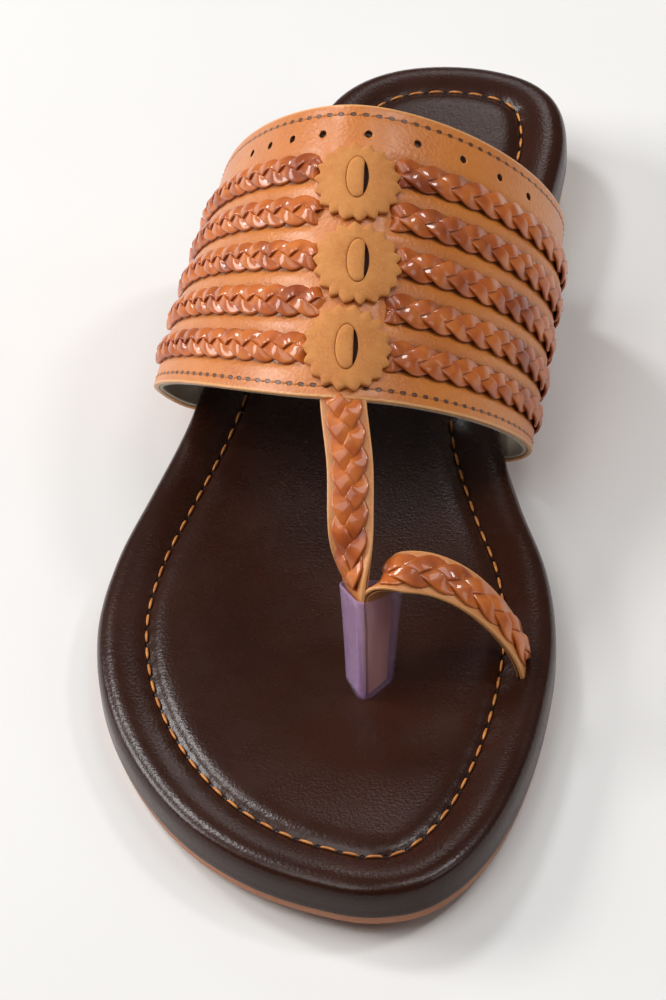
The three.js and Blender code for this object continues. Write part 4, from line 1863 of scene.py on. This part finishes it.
@dataclass(frozen=True)
class Plait:
    """Three flat strands plaited over each other. Visible strands spread outwards as the
    distance along the plait grows."""

    width: float = 7.2
    period: float = 17.8
    strand: float = 3.3
    thick: float = 0.75
    wave: float = 0.45
    roll: float = 0.14
    sharpness: float = 0.90
    plunge: float = 2.6
    plunge_depth: float = 2.2
    around: int = 16
    per_period: int = 28

    def add_strands(self, bm: BMesh, track: Track, start: float, end: float) -> None:
        """Adds the three strands along a track.

        Args:
            bm: mesh being made.
            track: place of a point by its distance along, aside and out of the leather.
            start: distance at which the plait starts.
            end: distance at which it ends.
        """
        swing = (self.width - self.strand) / 2
        rate = 2 * math.pi / self.period
        steps = max(6, round((end - start) / self.period * self.per_period))
        section = strip_section(self.around, self.strand / 2, self.thick / 2, 0.4, 0.6)
        sharp = self.sharpness
        swing /= math.asin(sharp)
        for strand in range(3):
            def surface(i: int, j: int, phase: float = strand * 2 * math.pi / 3) -> Vector:
                """A point on one strand.

                Args:
                    i: number round the strand.
                    j: number along it.
                    phase: the strand's place in the plait's swing.

                Returns:
                    The point.
                """
                along = start + (end - start) * j / steps
                angle = rate * along + phase
                turn = math.sqrt(1 - (sharp * math.sin(angle)) ** 2)
                slope = swing * rate * sharp * math.cos(angle) / turn
                norm = math.hypot(1, slope)
                wide, high = section[i]
                sink = self.plunge_depth * (
                    1 - smooth_step(min(along - start, end - along) / self.plunge))
                out = (self.thick / 2 + self.wave + self.wave * math.sin(2 * angle)
                       - self.roll * wide * math.sin(angle) + high - sink)
                aside = swing * math.asin(sharp * math.sin(angle)) + wide / norm
                return track(along - wide * slope / norm, aside, out)

            add_tube(bm, self.around, steps, surface,
                     lambda i, j: (abs(section[i % self.around][0]) / (self.strand / 2), j / steps))


@dataclass
class Plaits:
    """Every plait: five rows on each side of the band, the centre strap and the ring."""

    band: Band
    straps: Straps
    rosette_radius: float
    rosette_fronts: Sequence[float]
    rosette_rounds: Sequence[float]
    plaits: dict[Side, Plait] = field(default_factory=lambda: {
        Side.LATERAL: Plait(period=17.0, strand=2.95, wave=0.55, roll=0.22),
        Side.MEDIAL: Plait(),
    })
    strap_plait: Plait = Plait(width=7.7, period=16.6, strand=3.5, wave=0.40, plunge=1.4)
    base: float = -0.32
    overlap: float = 2.2
    strap_sink: float = 0.25
    past_mouth: float = 0.8
    past_band: float = 2.6
    clear_of_band: float = 15.0
    past_post: float = 3.6
    ring_hem: float = 1.0

    def row_start(self, front: float, side: Side) -> float:
        """How far from the crown line a row comes out from under the rosettes.

        Args:
            front: the row's distance from the front edge.
            side: which side.

        Returns:
            The distance.
        """
        reaches = [0.0]
        for at, round_ in zip(self.rosette_fronts, self.rosette_rounds):
            aside = max(0.0, abs(front - at) - self.plaits[side].width / 2)
            reach = math.sqrt(max(0.0, self.rosette_radius**2 - aside**2))
            reaches.append(reach + side.value * round_ if reach > 0 else 0.0)
        return max(reaches) - self.overlap

    def build_rows(self, material: Material) -> None:
        """Lays the rows. All run from the lateral to the medial side.

        Args:
            material: the strands' finish.
        """
        face = self.band.face
        for row in range(self.band.rows):
            front = self.band.front_row + row * self.band.row_pitch
            share = front / face.width

            def track(along: float, aside: float, out: float, share: float = share) -> Vector:
                """Lays a plait point on the band."""
                return face.point(share - aside / face.width, along, self.base + out)

            for side in Side:
                start = self.row_start(front, side)
                end = face.half_girth(share, side) - face.tuck - self.band.braid_hem
                ends = sorted((side.value * start, side.value * end))
                bm = bmesh.new()
                self.plaits[side].add_strands(bm, track, *ends)
                name = f"{side.name.lower()}_{row + 1}"
                publish(f"plait_{name}", bm, material, [f"braid_{name}"])

    def build_strap_plaits(self, material: Material) -> None:
        """Lays the plaits on the centre strap and the toe ring.

        Args:
            material: the strands' finish.
        """
        straps, post = self.straps, self.straps.post
        base = straps.thick / 2 - self.strap_sink
        edge = self.band.face.point(0, straps.offset).y
        mouth = post.sleeve_height + self.past_mouth

        def in_sleeve(p: Vector) -> bool:
            """Whether a point in front of the band is down in the sleeve's mouth."""
            return (p - post.foot).dot(post.up) < mouth and p.y < edge - self.clear_of_band

        leaves_band = straps.centre.first_where(lambda p: p.y < edge + self.past_band)
        leaves_post = straps.ring.first_where(lambda p: p.x > post.foot.x + self.past_post)
        ring_end = straps.ring.length - straps.slot_depth - self.ring_hem
        runs = {
            "centre_strap": (straps.centre, leaves_band, straps.centre.first_where(in_sleeve), -1),
            "toe_ring": (straps.ring, leaves_post, ring_end, 1),
        }
        for name, (run, start, end, sense) in runs.items():
            def track(
                along: float, aside: float, out: float, run: Run = run, sense: int = sense
            ) -> Vector:
                """Lays a plait point on a strap, run backwards if the sense is -1."""
                return run.point(along * sense, aside, base + out)

            bm = bmesh.new()
            self.strap_plait.add_strands(bm, track, *sorted((start * sense, end * sense)))
            publish(f"plait_{name}", bm, material, [f"braid_{name}"])


# ------------------------------------------------------------------ rosettes


@dataclass
class Rosettes:
    """Three pinked discs down the crown, each with an oval opening and a tongue in it."""

    face: BandFace
    radius: float = 9.35
    pitch: float = 18.8
    first: float = 10.6
    rounds: tuple[float, ...] = (1.1, 2.5, 1.6)
    thick: float = 1.3
    teeth: int = 18
    tooth: float = 1.05
    oval_half_width: float = 2.2
    oval_half_length: float = 4.9
    oval_back: float = 0.4
    tongue_edge: float = 1.3
    lift: float = 0.25
    around: int = 216
    seed: int = 7

    @property
    def fronts(self) -> list[float]:
        """Distances of the rosettes from the band's front edge."""
        return [self.first + i * self.pitch for i in range(3)]

    def oval(self, angle: float) -> float:
        """Radius of the oval opening at an angle from the medial direction."""
        return 1 / math.hypot(math.cos(angle) / self.oval_half_width,
                              math.sin(angle) / self.oval_half_length)

    def lay(self, number: int, radius: float, angle: float, out: float, back: float) -> Vector:
        """A point of a disc laid on the band."""
        share = (self.fronts[number] + back + radius * math.sin(angle)) / self.face.width
        return self.face.point(share, self.rounds[number] + radius * math.cos(angle), out)

    def add_disc(
        self,
        bm: BMesh,
        number: int,
        loop: Sequence[tuple[float, float, float]],
        inner: Callable[[float], float],
        outer: Callable[[float], float],
        shade: float = 0.0,
    ) -> None:
        """Adds a laid disc from rings between an inner and an outer outline.

        Args:
            bm: mesh being made.
            number: which rosette.
            loop: rings from the underside's middle to the top's middle, each with a share
                of the inner outline, a share of the way on to the outer one, and a height.
            inner: radius of the inner outline at an angle.
            outer: radius of the outer outline at an angle.
            shade: added to the UV share, by which the finish paints shade on the opening's walls.
        """
        back = self.oval_back * number

        def surface(i: int, j: int) -> Vector:
            """A point on one of the rings, whose middle moves to the oval's middle.

            Args:
                i: number round the disc.
                j: number of the ring.

            Returns:
                The point.
            """
            angle = 2 * math.pi * i / self.around
            scale, way, out = loop[j]
            start = inner(angle) * scale
            return self.lay(number, start + (outer(angle) - start) * way, angle, out,
                            back * (1 - way))

        add_tube(bm, self.around, len(loop) - 1, surface,
                 lambda i, j: (0.3 * loop[j][0] + 0.7 * loop[j][1] + shade, loop[j][2]))

    def build(self, material: Material) -> None:
        """Makes the discs and their tongues.

        Args:
            material: their finish.
        """
        rng = random.Random(self.seed)
        low, top = self.lift, self.lift + self.thick
        disc = [
            (0.1, 0, low), (1, 0, low), (1, 0.5, low), (1, 0.93, low), (1, 1.0, low + 0.15),
            (1, 1.0, low + 0.55), (1, 0.985, top - 0.42), (1, 0.95, top - 0.28),
            (1, 0.85, top - 0.12), (1, 0.6, top), (1, 0.35, top + 0.02), (1, 0.12, top),
            (1, 0.03, top - 0.06), (1, 0, top - 0.2), (0.97, 0, top - 0.9),
            (0.6, 0, top - 0.95), (0.1, 0, top - 0.95),
        ]
        tongue = [
            (0.1, 0, top - 0.9), (0.7, 0, top - 0.9), (0.98, 0, top - 0.85), (0.99, 0, top - 0.2),
            (0.97, 0, top + 0.08), (0.90, 0, top + 0.26), (0.75, 0, top + 0.36),
            (0.4, 0, top + 0.42), (0.1, 0, top + 0.42),
        ]

        def clipped(angle: float) -> float:
            """Radius of the tongue, which stops short of the opening's medial side."""
            reach = self.tongue_edge / max(math.cos(angle), 1e-6) if math.cos(angle) > 0 else 99.0
            return min(self.oval(angle), reach)

        for number, where in enumerate(("front", "middle", "rear")):
            depths = [self.tooth * rng.uniform(0.75, 1.25) for _ in range(self.teeth)]
            turn = rng.uniform(0, 2 * math.pi)

            def pinked(angle: float, depths: list[float] = depths, turn: float = turn) -> float:
                """Radius of the pinked edge.

                Args:
                    angle: direction from the disc's middle.
                    depths: how deep each bite is.
                    turn: how far the bites are turned.

                Returns:
                    The radius.
                """
                place = ((angle + turn) % (2 * math.pi)) / (2 * math.pi) * self.teeth
                bite = min(1.0, max(0.0, 1.35 * abs(2 * (place % 1) - 1) - 0.15))
                return self.radius - depths[int(place) % self.teeth] * bite

            bm = bmesh.new()
            self.add_disc(bm, number, disc, self.oval, pinked)
            publish(f"rosette_disc_{where}", bm, material, [f"rosette_{where}"])
            bm = bmesh.new()
            self.add_disc(bm, number, tongue, clipped, clipped, shade=0.7)
            node = f"rosette_tab_{where}"
            publish(f"rosette_tongue_{where}", bm, material, [node])


# ------------------------------------------------------------------ studio


@dataclass(frozen=True)
class Lamp:
    """One soft light, placed by where it stands and what it faces, in metres."""

    name: str
    place: Place
    size: float
    watts: float
    colour: Colour = (1.0, 1.0, 1.0)


@dataclass
class Studio:
    """A pale floor, soft lights and the camera."""

    target: Place = (-0.0027, -0.0039, 0.0)
    eye: Place = (0.0713, -0.5659, 0.5640)
    first_look: Place = (-0.0218, 0.7068, -0.7071)
    lens: float = 133.0
    floor_size: float = 3.0
    floor_tones: tuple[Colour, Colour] = ((0.762, 0.750, 0.740), (0.784, 0.773, 0.763))
    backdrop: Colour = (1.0, 0.985, 0.97)
    backdrop_fade: tuple[float, float] = (0.5, 2.2)
    world_colour: Colour = (0.95, 0.97, 1.0)
    world_strength: float = 0.10
    backdrop_strength: float = 0.92
    lamps: tuple[Lamp, ...] = (
        Lamp("key_overhead", (-0.50, -0.40, 1.45), 0.9, 8.2, (1.0, 0.985, 0.96)),
        Lamp("window_left", (-1.32, 0.05, 0.66), 0.5, 9.0, (1.0, 0.98, 0.95)),
        Lamp("strip_rim", (-1.23, 0.42, 0.74), 0.26, 4.6),
        Lamp("strip_shoulder", (-0.75, 0.60, 1.16), 0.26, 6.4),
        Lamp("strip_medial", (0.86, 0.29, 1.20), 0.20, 3.5),
        Lamp("rim_right", (1.30, -0.25, 0.80), 0.5, 2.0),
        Lamp("softbox_back", (0.0, 1.38, 0.93), 0.30, 1.2),
        Lamp("softbox_crown", (0.42, 0.12, 1.42), 0.50, 3.6, (1.0, 0.985, 0.975)),
    )

    def build_floor(self) -> None:
        """Lays the floor, which pales to the backdrop's tone far from the shoe."""
        bm = bmesh.new()
        bmesh.ops.create_grid(bm, x_segments=1, y_segments=1, size=self.floor_size)
        mesh = bpy.data.meshes.new("floor")
        bm.to_mesh(mesh)
        bm.free()
        floor = bpy.data.objects.new("floor", mesh)
        g = Graph("pale_floor")
        tone = g.mix(g.remap(g.noise(6, 3, 0.5), 0.3, 0.7), *self.floor_tones)
        place = g.add("ShaderNodeVectorMath", {0: g.place()}, operation="LENGTH").outputs["Value"]
        seen = g.add("ShaderNodeLightPath").outputs["Is Camera Ray"]
        far = g.remap(place, *self.backdrop_fade, 0.0, 0.85)
        mesh.materials.append(g.finish({
            "Base Color": tone,
            "Roughness": 0.8,
            "Emission Color": self.backdrop,
            "Emission Strength": g.times(seen, far),
        }))
        bpy.context.scene.collection.objects.link(floor)

    def build_lights(self) -> None:
        """Hangs the soft lights, each turned to the shoe."""
        for lamp in self.lamps:
            light = bpy.data.lights.new(lamp.name, "AREA")
            light.shape = "SQUARE"
            light.size = lamp.size
            light.energy = lamp.watts
            light.color = lamp.colour
            stand = bpy.data.objects.new(lamp.name, light)
            stand.location = lamp.place
            look = Vector(self.target) - Vector(lamp.place)
            stand.rotation_euler = look.to_track_quat("-Z", "Y").to_euler()
            bpy.context.scene.collection.objects.link(stand)

    def build_surround(self) -> None:
        """Sets a dim surround for light and a pale one for the camera."""
        world = bpy.data.worlds.new("studio")
        world.use_nodes = True
        background = world.node_tree.nodes["Background"]
        background.inputs["Color"].default_value = (*self.world_colour, 1.0)
        nodes, links = world.node_tree.nodes, world.node_tree.links
        strength = nodes.new("ShaderNodeMapRange")
        strength.inputs["To Min"].default_value = self.world_strength
        strength.inputs["To Max"].default_value = self.backdrop_strength
        seen = nodes.new("ShaderNodeLightPath").outputs["Is Camera Ray"]
        links.new(seen, strength.inputs["Value"])
        links.new(strength.outputs["Result"], background.inputs["Strength"])
        bpy.context.scene.world = world
        bpy.context.scene.view_settings.view_transform = "Standard"

    def build_camera(self) -> None:
        """Sets the camera where it sees the whole shoe, turned by the least amount."""
        data = bpy.data.cameras.new("camera")
        data.lens = self.lens
        camera = bpy.data.objects.new("camera", data)
        eye, look = Vector(self.eye), Vector(self.first_look)
        turn = look.rotation_difference(Vector(self.target) - eye)
        camera.location = eye
        camera.rotation_mode = "QUATERNION"
        camera.rotation_quaternion = turn @ look.to_track_quat("-Z", "Y")
        bpy.context.scene.collection.objects.link(camera)
        bpy.context.scene.camera = camera


# ------------------------------------------------------------------ assembly


def main() -> None:
    """Builds every piece of the sandal, and the studio."""
    logging.basicConfig(level=logging.INFO, format="%(name)s %(message)s")
    low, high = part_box("footbed")
    last = Last(length=(high.y - low.y) / MM)

    rubber = OUTSOLE_RUBBER.build()
    lining = LINING_LEATHER.build()

    soles = SolePieces(last)
    soles.build_outsole(rubber)
    soles.build_heel(HEEL_STACK.build(), rubber)
    soles.build_footbed(FootbedLeather().build())
    soles.build_seam(FOOTBED_THREAD.build())

    face = BandFace(last)
    band = Band(face)
    band.build_layers(BandLeather(width=face.width).build(), lining)
    band.build_seams(BAND_THREAD.build())

    post = Post(last)
    straps = Straps(last, face, post)
    straps.build(StrapLeather().build(), STRAP_LINING.build())
    post.build_sleeve(Film().build())

    rosettes = Rosettes(face)
    rosettes.build(RosetteLeather().build())
    plaits = Plaits(band, straps, rosettes.radius, rosettes.fronts, rosettes.rounds)
    thong = PlaitLeather().build()
    plaits.build_rows(thong)
    plaits.build_strap_plaits(thong)

    studio = Studio()
    studio.build_floor()
    studio.build_lights()
    studio.build_surround()
    studio.build_camera()


if __name__ == "__main__":
    main()
